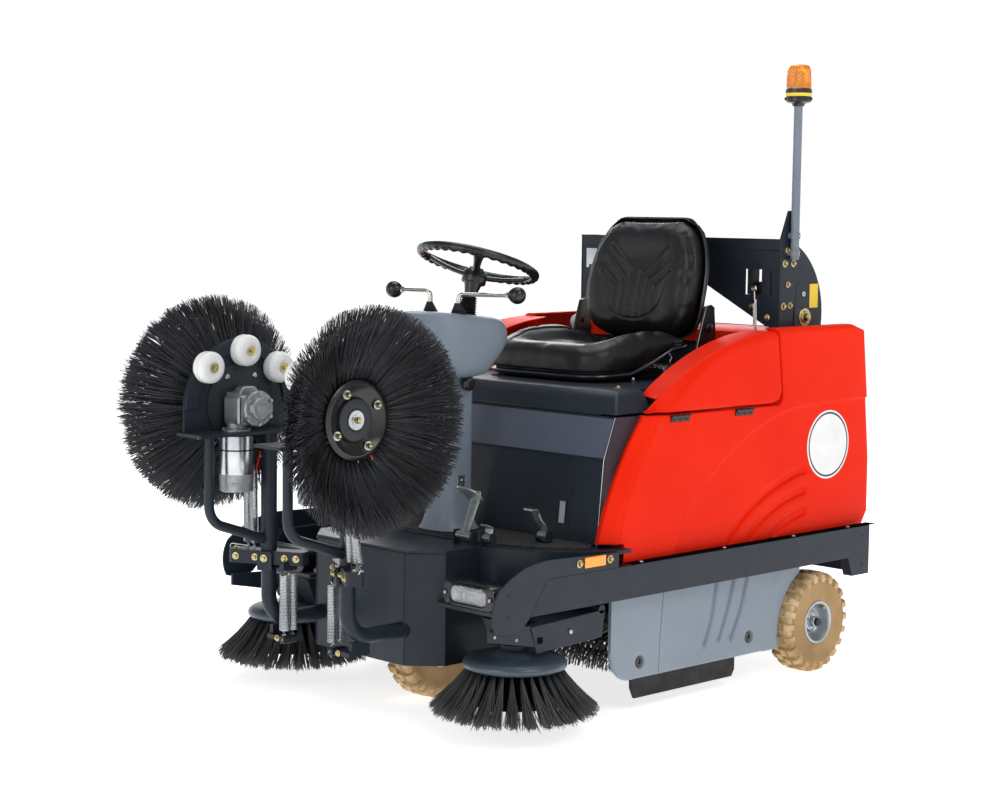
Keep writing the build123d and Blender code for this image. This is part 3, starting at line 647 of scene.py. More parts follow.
def nearest_on(line, points):
    """Distance of each point from a line, positive on its left, and how far along the line that is."""
    line, points = np.asarray(line, float), np.asarray(points, float)
    best = np.full(len(points), 1e9)
    signed, along = np.zeros(len(points)), np.zeros(len(points))
    walked = 0.0
    for start, stop in zip(line, line[1:]):
        span = stop - start
        length = np.hypot(*span)
        share = np.clip(((points - start) @ span) / length ** 2, 0, 1)
        gap = points - (start + share[:, None] * span)
        distance = np.hypot(gap[:, 0], gap[:, 1])
        side = np.sign(span[0] * (points[:, 1] - start[1]) - span[1] * (points[:, 0] - start[0]))
        closer = distance < best
        best[closer] = distance[closer]
        signed[closer] = (distance * side)[closer]
        along[closer] = (walked + share * length)[closer]
        walked += length
    return signed, along


def ease(value, width):
    """0 below zero, 1 above width, and smooth between."""
    t = np.clip(value / width, 0, 1)
    return t * t * (3 - 2 * t)


def rolled(distance, radius):
    """How far an edge of this radius falls away at a distance inside the outline."""
    t = np.clip(distance, 0, radius)
    return radius - np.sqrt(np.maximum(radius ** 2 - (radius - t) ** 2, 0))


def relief(outline, height, lines=(), edges=(), step=10.0, holes=()):
    """A sheet inside a counter-clockwise outline whose height follows its features.

    lines are (line, offsets): the sheet gets points along the line at those distances from it.
    edges are (line, radius): the sheet gets closer rows beside a rolled edge.
    Returns points (a, b, height), triangles and the outline's own points in order.
    """
    rim = resampled(list(outline) + [outline[0]], step * 0.6)[:-1]
    fixed, extra = list(rim), []
    for line, offsets in lines:
        dense = resampled(line, step * 0.5)
        for offset in offsets:
            shifted = []
            for i, point in enumerate(dense):
                a, b = Vector(dense[max(i - 1, 0)]), Vector(dense[min(i + 1, len(dense) - 1)])
                across_line = Vector((-(b - a).y, (b - a).x)).normalized()
                shifted.append(tuple(Vector(point) + across_line * offset))
            extra += shifted
    for line, radius in edges:
        dense = resampled(line, step * 0.6)
        for share in (0.06, 0.2, 0.42, 0.7, 1.0):
            for i, point in enumerate(dense):
                a, b = Vector(dense[max(i - 1, 0)]), Vector(dense[min(i + 1, len(dense) - 1)])
                across_line = Vector((-(b - a).y, (b - a).x)).normalized()
                extra.append(tuple(Vector(point) + across_line * radius * share))
    low, high = np.min(rim, 0), np.max(rim, 0)
    rows = int((high[1] - low[1]) / (step * 0.87)) + 1
    grid = [(low[0] + step * (i + 0.5 * (j % 2)), low[1] + j * step * 0.87)
            for j in range(rows + 1) for i in range(int((high[0] - low[0]) / step) + 2)]
    taken = {}

    def free(point, gap):
        cell = (int(point[0] // gap), int(point[1] // gap))
        cells = [(gap, cell[0] + dx, cell[1] + dy) for dx in (-1, 0, 1) for dy in (-1, 0, 1)]
        near = [q for key in cells for q in taken.get(key, [])]
        return all(hypot(point[0] - q[0], point[1] - q[1]) >= gap for q in near)

    def take(point, gaps):
        for gap in gaps:
            taken.setdefault((gap, int(point[0] // gap), int(point[1] // gap)), []).append(point)

    near_gap, far_gap = 0.9, step * 0.62
    for point in fixed:
        take(point, (near_gap, far_gap))
    for point in extra:
        if free(point, near_gap):
            take(point, (near_gap, far_gap))
            fixed.append(point)
    for point in grid:
        if free(point, far_gap):
            take(point, (near_gap, far_gap))
            fixed.append(point)
    faces = [list(range(len(rim)))]
    result = delaunay_2d_cdt([Vector(p) for p in fixed], [], faces, 1, 1e-5)
    points, triangles, sources = result[0], result[2], result[3]
    place = {source: index for index, group in enumerate(sources) for source in group}
    used = sorted({i for triangle in triangles for i in triangle})
    renumber = {old: new for new, old in enumerate(used)}
    flat = np.array([points[i] for i in used])
    heights = height(flat)
    solid = [(a, b, h) for (a, b), h in zip(flat, heights)]
    triangles = [tuple(renumber[i] for i in t) for t in triangles]
    loop = [renumber[place[i]] for i in range(len(rim)) if place[i] in renumber]
    return solid, triangles, loop


def moulding(shape, sheet, to_frame, depth, wall=3.5, slot=0):
    """A hollow moulding: the relief sheet, its rim drawn back by depth(a, b), and an inner skin."""
    points, triangles, loop = sheet
    lowered = []
    for a, b, h in points:
        lowered.append((a, b, h - wall))
    ring = [points[i] for i in loop]
    flat = [(a, b) for a, b, _ in ring]
    inner = inset(flat, wall)
    shape.add([to_frame(a, b, h) for a, b, h in points], triangles, slot)
    inner_points = list(lowered)
    for i, (a, b) in zip(loop, inner):
        inner_points[i] = (a, b, lowered[i][2])
    shape.add([to_frame(a, b, h) for a, b, h in inner_points], [tuple(reversed(t)) for t in triangles], slot)
    outer_back = [(a, b, -depth(a, b)) for a, b, _ in ring]
    inner_back = [(a, b, -depth(c, d)) for (a, b), (c, d, _) in zip(inner, ring)]
    inner_front = [inner_points[i] for i in loop]
    rings = [[to_frame(*p) for p in line] for line in (inner_front, inner_back, outer_back, ring)]
    shape.skin(rings, slot, caps=False)


BODY_X = 506.0
PANEL_BACK = 46.0
PANEL_FRONT_ARC = arc_through((19, 785), (-84, 629), (-147, 461), 26)
PANEL_OUTLINE = [(-58, 404), (1022, 404), (1047, 440), (1046, 600), (1000, 984), (941, 1002), (584, 1000),
                 (608, 812), (604, 795), (590, 785), *PANEL_FRONT_ARC, (-58, 457)]
STRIP_CREASE = smooth_path([(-78, 456), (-64, 532), (-16, 639), (33, 721), (70, 787)], 6)
LONG_ARC = smooth_path([(143, 405), (206, 519), (287, 602), (413, 689), (522, 737), (634, 768), (821, 780),
                        (1030, 783)], 8)
GROOVES = [smooth_path(line, 8) for line in (
    [(372, 395), (400, 440), (458, 489), (563, 543), (682, 582), (735, 588)],
    [(462, 395), (487, 435), (538, 468), (615, 503), (696, 525), (740, 531)],
    [(566, 395), (590, 421), (647, 448), (705, 464), (741, 472)])]
GROOVE_HALF, GROOVE_DEEP = 12.5, 7.0
DISC_AT, DISC_R = (831, 656), 100


def flat_line(path):
    return [(p[0], p[1]) for p in path]


def panel_height(points):
    """The side panel's outer face: a falling front strip, a step along the long arc, and three grooves."""
    height = np.zeros(len(points))
    strip, _ = nearest_on(flat_line(STRIP_CREASE), points)
    height -= np.where((strip > 0) & (points[:, 1] > 452), np.clip(strip, 0, 90) * 0.34, 0)
    height -= 2.0 * np.exp(-(strip / 4.0) ** 2) * (points[:, 1] > 440)
    step, _ = nearest_on(flat_line(LONG_ARC), points)
    height -= 6.0 * ease(-step + 2, 5)
    for groove in GROOVES:
        gap, _ = nearest_on(flat_line(groove), points)
        height -= GROOVE_DEEP * ease(GROOVE_HALF - np.abs(gap), 5.5) * ease(groove[-1][0] - 3 - points[:, 0],
                                                                            9)
    rear, _ = nearest_on([(935, 400), (935, 790), (905, 1010)], points)
    height -= 0.035 * np.clip(-rear, 0, 140)
    for line, radius in PANEL_EDGES:
        edge, _ = nearest_on(line, points)
        height -= rolled(np.abs(edge), radius)
    return height


PANEL_EDGES = [([(1022, 404), (1047, 440), (1046, 600), (1000, 984), (941, 1002), (584, 1000)], 15.0),
               ([(584, 1000), (608, 812), (604, 795), (590, 785), (19, 785)], 3.5),
               (PANEL_FRONT_ARC, 5.0),
               ([(-147, 461), (-58, 457), (-58, 404), (1022, 404)], 3.0)]


def leaning(share, a, b, h):
    """A point of a red cover: where its face falls inwards, it also sets back by this share of the fall."""
    return BODY_X + h, a + share * min(max(-h, 0.0), 48.0), b


def panel_place(a, b, h):
    return leaning(0.6 * min(1.0, max(0.0, (560 - a) / 200)), a, b, h)


def flap_place(a, b, h):
    return leaning(0.95 * min(1.0, max(0.0, (600 - a) / 90)), a, b, h)


def red_sides():
    """The big side mouldings with their crease lines, and the blank number disc."""
    lines = [(flat_line(STRIP_CREASE), (-5, -2, 0, 2, 5)), (flat_line(LONG_ARC), (-4, -2, 0, 2, 4)),
             *((flat_line(g), (-13, -11, -9, -7, -3, 3, 7, 9, 11, 13)) for g in GROOVES)]
    sheet = relief(PANEL_OUTLINE, panel_height, lines, PANEL_EDGES, step=11.0)
    shape = Shape()
    moulding(shape, sheet, panel_place, lambda a, b: PANEL_BACK, wall=4.0)
    both_sides(shape, "red_side_{}", "chassis", RED, ("side_panel_{}",), smooth=50)

    disc = Shape()
    base = BODY_X + float(panel_height(np.array([DISC_AT]))[0]) - 0.4
    disc.lathe([(0, 0), (0, DISC_R), (1.2, DISC_R), (1.5, DISC_R - 1), (1.5, DISC_R - 5.5)],
               (base, *DISC_AT), LEFT, 72, 0, caps=False)
    disc.lathe([(1.5, DISC_R - 5.5), (1.6, DISC_R - 5.6), (1.6, DISC_R - 11), (1.5, DISC_R - 11.1)],
               (base, *DISC_AT), LEFT, 72, 1, caps=False)
    disc.lathe([(1.5, DISC_R - 11.1), (1.5, 0)], (base, *DISC_AT), LEFT, 72, 0, caps=False)
    both_sides(disc, "number_disc_{}", "chassis", [WHITE, PLASTIC], slot="")


FLAP_TOP = arc_through((561, 992), (237, 922), (24, 792), 40)
FLAP_OUTLINE = [(24, 792), (560, 792), (590, 800), (601, 824), (580, 982), (574, 990), *FLAP_TOP[:-1]]
FLAP_CREASE = smooth_path([(108, 780), (128, 803), (175, 846), (277, 914), (403, 958), (566, 983)], 8)
FLAP_EDGES = [([(560, 792), (590, 800), (601, 824), (580, 982), (574, 990), (561, 992)], 5.0),
              (FLAP_TOP, 7.0), ([(24, 792), (560, 792)], 3.0)]


def flap_height(points):
    """The fender flap's outer face, with a broad strip falling to the top edge."""
    crease, _ = nearest_on(flat_line(FLAP_CREASE), points)
    height = -np.where(crease > 0, np.clip(crease, 0, 90) * 0.52, 0) - 1.6 * np.exp(-(crease / 4.0) ** 2)
    for line, radius in FLAP_EDGES:
        edge, _ = nearest_on(line, points)
        height -= rolled(np.abs(edge), radius)
    return height


def flap_depth(a, b):
    """How far the flap's rim reaches in: to the hood along the top, and a lip elsewhere."""
    return 106.0 if b > 830 and a < 556 else 24.0


def red_fenders():
    sheet = relief(FLAP_OUTLINE, flap_height, [(flat_line(FLAP_CREASE), (-5, -2, 0, 2, 5))], FLAP_EDGES,
                   step=10.0)
    shape = Shape()
    moulding(shape, sheet, flap_place, flap_depth, wall=4.0)
    both_sides(shape, "red_fender_{}", "{}_flap", RED, ("fender_flap_{}",), smooth=50)


SKIRT_X = 508.0
SKIRT_BEND = arc_through((-96, 165), (-64, 106), (0, 88), 10)
SKIRT_ARCH = arc_through((700, 294), (640, 240), (605, 112), 14)
SKIRT_OUTLINE = [*SKIRT_BEND, (606, 84), *reversed(SKIRT_ARCH), (700, 318), (-96, 318)]
SKIRT_SEAM = [(113, 330), (100, 192), (95, 70)]
SKIRT_GROOVES = [smooth_path(line, 6) for line in (
    [(336, 330), (329, 290), (315, 214), (285, 142)], [(410, 330), (403, 290), (378, 217), (347, 148)],
    [(470, 330), (462, 293), (437, 215), (400, 146)])]
SKIRT_SCREWS = [(20, 134), (482, 137)]
FLARE_LINE = smooth_path([(596, 330), (578, 289), (549, 200), (533, 75)], 6)
SKIRT_EDGES = [([*SKIRT_BEND, (606, 84)], 10.0), (list(reversed(SKIRT_ARCH)), 4.0)]


def skirt_height(points):
    height = np.zeros(len(points))
    for groove in SKIRT_GROOVES:
        gap, _ = nearest_on(flat_line(groove), points)
        height -= 6.5 * ease(9.0 - np.abs(gap), 4.5)
    seam, _ = nearest_on(SKIRT_SEAM, points)
    height -= 3.0 * ease(1.6 - np.abs(seam), 1.2)
    flare, _ = nearest_on(flat_line(FLARE_LINE), points)
    height += 6.0 * ease(flare, 34)
    for y, z in SKIRT_SCREWS:
        gap = np.hypot(points[:, 0] - y, points[:, 1] - z)
        height -= 9.0 * ease(19.0 - gap, 4)
    for line, radius in SKIRT_EDGES:
        edge, _ = nearest_on(line, points)
        height -= rolled(np.abs(edge), radius)
    return height - 6.0


def skirts():
    """Grey lower covers with a joint line, three grooves and sunken bolts."""
    screw_rings = [(circle(r, 28) + [(r, 0)], (0,)) for r in (7, 14.5, 16.5, 18.5, 20)]
    lines = [*((flat_line(g), (-9.5, -7.5, -5, 0, 5, 7.5, 9.5)) for g in SKIRT_GROOVES),
             (SKIRT_SEAM, (-1.8, -0.8, 0.8, 1.8)), (flat_line(FLARE_LINE), (0, 10, 24, 34)),
             *(([(y + a, z + b) for a, b in ring], offsets) for y, z in SKIRT_SCREWS
               for ring, offsets in screw_rings)]
    sheet = relief(SKIRT_OUTLINE, skirt_height, lines, SKIRT_EDGES, step=9.0)
    shape = Shape()
    moulding(shape, sheet, lambda a, b, h: (SKIRT_X + h, a, b), lambda a, b: 16.0, wall=3.0)
    both_sides(shape, "skirt_cover_{}", "chassis", SKIRT_GREY, ("skirt_{}",), smooth=50)
    screws = Shape()
    for y, z in SKIRT_SCREWS:
        screws.lathe([(0, 13), (5, 13), (6, 12), (6, 7), (3, 6), (3, 0)], (SKIRT_X - 15, y, z), LEFT, 28)
    both_sides(screws, "skirt_screws_{}", "chassis", PLASTIC, slot="")


def rubber_skirts():
    """Black rubber skirts under the grey covers, with cut corners and a clamping bar."""
    shape, bar = Shape(), Shape()
    for sign in (1, -1):
        outline = [(6, 62), (20, 32), (428, 30), (440, 48), (440, 122), (4, 122)]
        if sign < 0:
            outline = [(-a, b) for a, b in reversed(outline)]
        shape.slab(outline, (sign * 476, 0, 0), (0, sign, 0), UP, 10, 1.2)
        bar.block((5, 430, 20), (sign * 488, 222, 112), 0, 1)
    shape.piece("rubber_skirts", "chassis", RUBBER, stands_for=("side_flaps",))
    bar.piece("rubber_skirt_bars", "chassis", ZINC)


red_sides()
red_fenders()
skirts()
rubber_skirts()


# ---------------------------------------------------------------- bristles


def strands(name, body, paths, radius, material, tones, stands_for=()):
    """Many fine three-sided strands in one mesh. paths is (strand, point, 3) in millimetres."""
    count, length = paths.shape[:2]
    ahead = np.empty_like(paths)
    ahead[:, 1:-1] = paths[:, 2:] - paths[:, :-2]
    ahead[:, 0] = paths[:, 1] - paths[:, 0]
    ahead[:, -1] = paths[:, -1] - paths[:, -2]
    ahead /= np.linalg.norm(ahead, axis=2, keepdims=True)
    helper = np.where(np.abs(ahead[:, :, 2:3]) < 0.9, np.array([0.0, 0.0, 1.0]), np.array([0.0, 1.0, 0.0]))
    first = np.cross(ahead, helper)
    first /= np.linalg.norm(first, axis=2, keepdims=True)
    second = np.cross(ahead, first)
    sides = 3
    taper = np.linspace(1.0, 0.72, length)[None, :, None]
    rings = [paths + radius * taper * (first * cos(tau * s / sides) + second * sin(tau * s / sides))
             for s in range(sides)]
    points = np.stack(rings, axis=2).reshape(-1, 3) * MM
    base = np.arange(count)[:, None, None] * length * sides
    step = np.arange(length - 1)[None, :, None] * sides
    side = np.arange(sides)[None, None, :]
    a = base + step + side
    b = base + step + (side + 1) % sides
    quads = np.stack([a, b, b + sides, a + sides], axis=-1).reshape(-1, 4)
    roots = base[:, 0, 0][:, None]
    ends = np.concatenate([roots + np.array([2, 1, 0]), roots + (length - 1) * sides + np.array([0, 1, 2])])
    mesh = bpy.data.meshes.new(name)
    mesh.from_pydata(points.tolist(), [], quads.tolist() + ends.tolist())
    mesh.polygons.foreach_set("use_smooth", [True] * len(mesh.polygons))
    tone = mesh.attributes.new("tone", "FLOAT", "POINT")
    tone.data.foreach_set("value", np.repeat(tones, length * sides).astype(np.float32))
    mesh.materials.append(material)
    obj = bpy.data.objects.new(name, mesh)
    scene.collection.objects.link(obj)
    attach(obj, body)
    if stands_for:
        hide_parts(*stands_for)
    return obj


HEAD_AT = (-765.0, 808.0)
HEAD_TUFTS = ((76, 232, 40), (83, 240, 44), (89, 247, 46), (94, 252, 46))
HEAD_PER_TUFT = 25
HEAD_SEED = {"left": 11, "right": 23}


def head_bristles(side, sign):
    """Tufts set in rings of the hub, fanned out to a shallow cup."""
    rng = np.random.default_rng(HEAD_SEED[side])
    paths, tones = [], []
    for row, (root_r, root_x, count) in enumerate(HEAD_TUFTS):
        cup = row / (len(HEAD_TUFTS) - 1)
        for k in range(count):
            angle = tau * (k + 0.5 * (row % 2)) / count + rng.normal(0, 0.01)
            tuft_tip = (257 + 12 * rng.random(), rng.normal(0, 0.012))
            tuft_tone = rng.random() * 0.4
            for _ in range(HEAD_PER_TUFT):
                turn = angle + rng.normal(0, 0.055) + tuft_tip[1]
                layer = np.clip(cup + rng.normal(0, 0.16), 0, 1)
                reach = tuft_tip[0] + 18 * (1 - layer) + rng.normal(0, 5)
                if rng.random() < 0.03:
                    reach -= 26 * rng.random()
                    turn += rng.normal(0, 0.06)
                reach = min(reach, 285)
                tip_x = 314 + 44 * layer + rng.normal(0, 4)
                bend = rng.normal(0, 0.022)
                shares = np.linspace(0, 1, 5)
                radius = root_r + (reach - root_r) * shares
                out = root_x + (tip_x - root_x) * (0.72 * shares + 0.28 * shares ** 2)
                swing = angle + (turn - angle) * shares + bend * shares * (1 - shares) * 4
                wave = rng.normal(0, 0.8, 5) * shares
                paths.append(np.stack([sign * (out + wave), HEAD_AT[0] + radius * np.cos(swing),
                                       HEAD_AT[1] + radius * np.sin(swing)], axis=1))
                tones.append(min(1.0, tuft_tone + rng.random() * 0.7))
    strands(f"head_bristles_{side}", f"{side}_head_brush", np.array(paths), 1.15, BRISTLE, np.array(tones),
            stands_for=(f"head_brush_{side}",))


def head_hubs():
    """The moulded hub ring, its raised inner plate, the shaft washer and four domed nuts."""
    hub = Shape()
    at = (0, *HEAD_AT)
    hub.lathe([(220, 12), (220, 98), (224, 101), (256, 101), (262, 99), (266, 92), (267, 87), (262, 80),
               (256, 66), (252, 56), (251, 54)], at, LEFT, 72, 0, caps=False)
    hub.lathe([(251, 54), (258, 52), (259.5, 49), (259.5, 30), (257, 27), (257, 12), (220, 12)],
              at, LEFT, 72, 1, caps=False)
    washer = Shape()
    washer.lathe([(257, 0), (257, 25), (260, 25), (261, 24), (261, 14), (263.5, 14), (263.5, 0)],
                 at, LEFT, 36, 0)
    washer.hex_bolt((262, *HEAD_AT), LEFT, 14, 1, washer=False)
    for k in range(4):
        angle = radians(28 + 90 * k)
        spot = (261, HEAD_AT[0] + 73 * cos(angle), HEAD_AT[1] + 73 * sin(angle))
        washer.lathe([(-3, 12), (4, 12), (5, 11), (5, 0)], spot, LEFT, 20, 0)
        washer.hex_bolt(Vector(spot) + Vector((4, 0, 0)), LEFT, 12.5, 1, washer=False)
        washer.lathe([(9, 6.5), (14, 5.5), (16.5, 3), (17, 0)], spot, LEFT, 12, 1, caps=False)
    both_sides(hub, "head_hub_{}", "{}_head_brush", [PLASTIC, PAINT_DARK])
    both_sides(washer, "head_hub_nuts_{}", "{}_head_brush", [ZINC, BRASS], slot="passivated_bolt")


SIDE_BRUSH_AT = (440.0, -388.0)
SIDE_TUFTS = ((78, 22), (96, 26), (112, 32))
SIDE_PER_TUFT = 46


def side_bristles(side, sign):
    """Long splayed tufts under the side brush's disc."""
    rng = np.random.default_rng({"left": 5, "right": 9}[side])
    paths, tones = [], []
    for row, (root_r, count) in enumerate(SIDE_TUFTS):
        for k in range(count):
            angle = tau * (k + 0.37 * row) / count
            lean = 0.05 + rng.normal(0, 0.02)
            tuft_tone = rng.random() * 0.35
            for _ in range(SIDE_PER_TUFT):
                turn = angle + lean + rng.normal(0, 0.05)
                reach = 158 + 24 * row + rng.normal(0, 8)
                low = 56 + 6 * row + rng.normal(0, 5)
                if rng.random() < 0.015:
                    reach += 12
                    turn += rng.normal(0, 0.12)
                reach, low = min(reach, 214), max(low, 44)
                shares = np.linspace(0, 1, 5)
                radius = root_r + rng.normal(0, 2.5) + (reach - root_r) * (0.8 * shares + 0.2 * shares ** 2)
                height = 178 + (low - 178) * (1.1 * shares - 0.1 * shares ** 2)
                swing = angle + (turn - angle) * shares
                paths.append(np.stack([sign * (SIDE_BRUSH_AT[0] + radius * np.cos(swing)),
                                       SIDE_BRUSH_AT[1] + radius * np.sin(swing), height], axis=1))
                tones.append(min(1.0, tuft_tone + rng.random() * 0.65))
    strands(f"side_bristles_{side}", f"{side}_side_brush", np.array(paths), 1.25, SIDE_BRISTLE,
            np.array(tones),
            stands_for=(f"side_brush_{side}",))


def side_discs():
    disc = Shape()
    at = (*SIDE_BRUSH_AT, 0)
    disc.lathe([(172, 12), (172, 122), (175, 130), (180, 133), (186, 133), (192, 130), (198, 122), (201, 110),
                (204, 84), (205, 60), (207, 58), (214, 40), (216, 36), (216, 12), (172, 12)],
               at, UP, 96, 0, caps=False)
    # A dark cone among the bristle roots under the disc: painted shade of the tufts' inside.
    core = Shape()
    core.lathe([(174, 60), (172, 66), (120, 96), (84, 118), (78, 96), (150, 50)], at, UP, 48, 0)
    both_sides(core, "side_brush_core_{}", "{}_side_brush", SHADE_SHEET, slot="bristle")
    both_sides(disc, "side_brush_disc_{}", "{}_side_brush", DISC_BLUE, smooth=60)


BROOM_AT = (240.0, 172.0)


def main_broom():
    """The roller brush: tufts in chevron rows on a core."""
    rng = np.random.default_rng(31)
    rows, tufts, per_tuft = 10, 42, 9
    paths, tones = [], []
    for row in range(rows):
        for k in range(tufts):
            x = -418 + 836 * (k + 0.5) / tufts
            angle = tau * row / rows + abs(x) / 418 * 0.5
            for _ in range(per_tuft):
                turn = angle + rng.normal(0, 0.045)
                spread = rng.normal(0, 5, 2)
                reach = 146 + rng.normal(0, 3)
                radius = 62 + (min(reach, 151) - 62) * np.array([0, 0.5, 1.0])
                swing = angle + (turn - angle) * np.array([0, 0.5, 1.0])
                paths.append(np.stack([np.clip(x + spread[0] * np.array([0.2, 0.6, 1.0]), -428, 428),
                                       BROOM_AT[0] + radius * np.cos(swing),
                                       BROOM_AT[1] + radius * np.sin(swing)], axis=1))
                tones.append(rng.random())
    strands("main_broom_bristles", "broom", np.array(paths), 1.7, BRISTLE, np.array(tones),
            stands_for=("main_broom",))
    core = Shape()
    core.lathe([(-430, 22), (-430, 62), (-424, 66), (424, 66), (430, 62), (430, 22)], (0, *BROOM_AT), LEFT,
               48)
    for x in (-428, 424):
        core.lathe([(0, 22), (0, 96), (4, 96), (4, 22)], (x, *BROOM_AT), LEFT, 48, 0, caps=False)
    core.piece("main_broom_core", "broom", PLASTIC)


for side_name, side_sign in SIDES:
    head_bristles(side_name, side_sign)
    side_bristles(side_name, side_sign)
head_hubs()
side_discs()
main_broom()


# ---------------------------------------------------------------- brush heads: drive, rollers, springs


def coil_spring(shape, top, bottom, radius, wire, pitch, slot=0):
    """A close-wound tension spring with a hook at each end."""
    top, bottom = Vector(top), Vector(bottom)
    axis = (bottom - top).normalized()
    u, v = across(axis)
    hook = radius * 1.5
    length = (bottom - top).length - 2 * hook
    turns = max(6, int(length / pitch))
    start = top + axis * hook
    path = [top + u * radius * 0.5 + axis * radius * 0.55, top + v * 0.1,
            top - u * radius * 0.5 + axis * radius * 0.5,
            top + axis * hook * 0.75]
    for i in range(turns * 12 + 1):
        angle = tau * i / 12
        path.append(start + axis * length * i / (turns * 12) + (u * cos(angle) + v * sin(angle)) * radius)
    path += [bottom - axis * hook * 0.75, bottom - u * radius * 0.5 - axis * radius * 0.5, bottom + v * 0.1,
             bottom + u * radius * 0.5 - axis * radius * 0.55]
    return shape.tube(path, wire, 6, slot)


ARM_AT = (159.0, -704.0)


def head_drives():
    """Motor, flange, worm gearbox with its ribbed cover, and the shaft to the hub."""
    x, y = 159.0, -810.0
    motor = Shape()
    motor.lathe([(594, 0), (594, 38), (597, 43), (618, 43), (619, 44.5), (640, 44.5)], (x, y, 0), UP, 56, 0,
                caps=False)
    motor.lathe([(640, 44.5), (641, 45), (700, 45), (700.5, 43)], (x, y, 0), UP, 56, 1, caps=False)
    motor.lathe([(700.5, 43), (703.5, 43)], (x, y, 0), UP, 56, 2, caps=False)
    motor.lathe([(703.5, 43), (704, 45), (738, 45), (741.6, 42), (741.6, 0)], (x, y, 0), UP, 56, 1,
                caps=False)
    motor.block((10, 14, 8), (x + 24, y + 30, 598), 2)
    both_sides(motor, "head_motor_{}", "{}_head", [CAST, POLISHED, PLASTIC], ("head_drive_{}",),
               slot="bare_aluminium")

    gear = Shape()
    gear.lathe([(750.4, 0), (750.4, 38), (753, 38), (755, 36), (757, 27), (760, 25), (770, 25), (770, 0)],
               (x, y, 0), UP, 48)
    gear.slab(rounded([(-32, 0), (32, 0), (32, 84), (20, 100), (-20, 100), (-32, 84)], 8),
              (x - 6, -772, 762), REAR, UP, 32, 3)
    gear.slab(rounded([(-30, 0), (30, 0), (30, 78), (-30, 78)], 12), (x - 34, -800, 764), REAR, UP, 62, 4)
    centre = Vector((x - 34, -774, 808))
    gear.lathe([(0, 46), (-12, 46), (-15, 43), (-16, 36), (-16, 31), (-26, 29), (-28, 26), (-28, 14),
                (-30, 13), (-30, 0)], centre, LEFT, 56, 0, caps=False)
    gear.lathe([(0, 46), (24, 46), (27, 42), (30, 30), (34, 28), (34, 0)], (x + 14, -774, 808), LEFT, 56)
    for k in range(6):
        angle = tau * k / 6 + 0.5
        spoke = Vector((0, cos(angle), sin(angle)))
        gear.slab(rectangle(6, 26, 1.5), centre + spoke * 25 + Vector((-14, 0, 0)), spoke.cross(LEFT), spoke,
                  7, 1)
        gear.lathe([(-20, 0), (-20, 5.5), (-12, 6.5), (0, 6.5)], centre + spoke * 40, LEFT, 14, 0, caps=False)
    for k in range(5):
        gear.block((56, 3, 34), (x - 6, -826 + 3, 776 + 14 * k), 0, 1)
    both_sides(gear, "head_gearbox_{}", "{}_head", CAST, smooth=30)

    bits = Shape()
    for k in range(4):
        angle = radians(45 + 90 * k)
        bits.hex_bolt((x + 33 * cos(angle), y + 33 * sin(angle), 754), UP, 5, 0)
    for k in range(6):
        angle = tau * k / 6 + 0.5
        bits.hex_bolt(centre + Vector((-19, 40 * cos(angle), 40 * sin(angle))), RIGHT, 4.2, 0, washer=False)
    bits.lathe([(0, 12), (64, 12), (64, 0)], (x + 36, *HEAD_AT), LEFT, 20)
    both_sides(bits, "head_drive_bolts_{}", "{}_head", ZINC)

    wire = Shape()
    wire.tube(smooth_path([(x + 22, y + 34, 604), (x + 28, y + 46, 590), (x + 26, y + 60, 600),
                           (x + 14, y + 74, 640), (x + 8, y + 84, 690)], 6), 2.2, 8)
    both_sides(wire, "head_motor_lead_{}", "{}_head", RED, slot="")


ROLLER_SPOTS = ((-113, 106), (4, 145), (112, 97))


def head_rollers():
    """Three domed nylon rollers on bolts above the guard disc."""
    roller, bolt = Shape(), Shape()
    for y, z in ROLLER_SPOTS:
        at = (0, HEAD_AT[0] + y, HEAD_AT[1] + z)
        roller.lathe([(163, 0), (163, 19), (162, 20), (162, 24), (163.5, 30), (167, 36), (172, 40), (178, 41),
                      (182, 40), (182.6, 38), (185.4, 38), (186, 40), (194, 41), (199, 39.5), (201, 36),
                      (201, 0)],
                     at, LEFT, 56)
        bolt.lathe([(163.4, 0), (161, 13), (159.6, 13), (159.6, 0)], at, LEFT, 24, 0)
        bolt.hex_bolt((160, at[1], at[2]), RIGHT, 9, 0, washer=False)
        bolt.lathe([(151, 0), (151, 4), (156, 4)], at, LEFT, 12, 0, caps=False)
    both_sides(roller, "head_rollers_{}.white", "{}_head", WHITE, ("head_rollers_{}",))
    both_sides(bolt, "head_roller_bolts_{}", "{}_head", BRASS)


def head_guard():
    """On the motor side of the guard disc: its folded rim, the inner backing disc and two screws."""
    y0, z0 = HEAD_AT
    rim = Shape()
    outer = [(y0 + 176 * cos(pi * i / 40), z0 + 176 * sin(pi * i / 40)) for i in range(41)]
    inner = [(y0 + 140 * cos(pi * i / 40), z0 + 140 * sin(pi * i / 40)) for i in range(41)]
    ring = outer + inner[::-1]
    rim.slab(ring, (196, 0, 0), REAR, UP, 7.5, 1.2)
    disc = Shape()
    disc.lathe([(198.4, 0), (198.4, 104), (199.4, 106), (203, 106)], (0, y0, z0 + 6), LEFT, 64, 0, caps=False)
    screws = Shape()
    for dy in (-44, 44):
        screws.dome_screw((198.4, y0 + dy, z0 + 78), RIGHT, 8)
    both_sides(rim, "head_guard_rim_{}", "{}_head", PAINT)
    both_sides(disc, "head_guard_disc_{}", "{}_head", PAINT_DARK)
    both_sides(screws, "head_guard_screws_{}", "{}_head", ZINC)


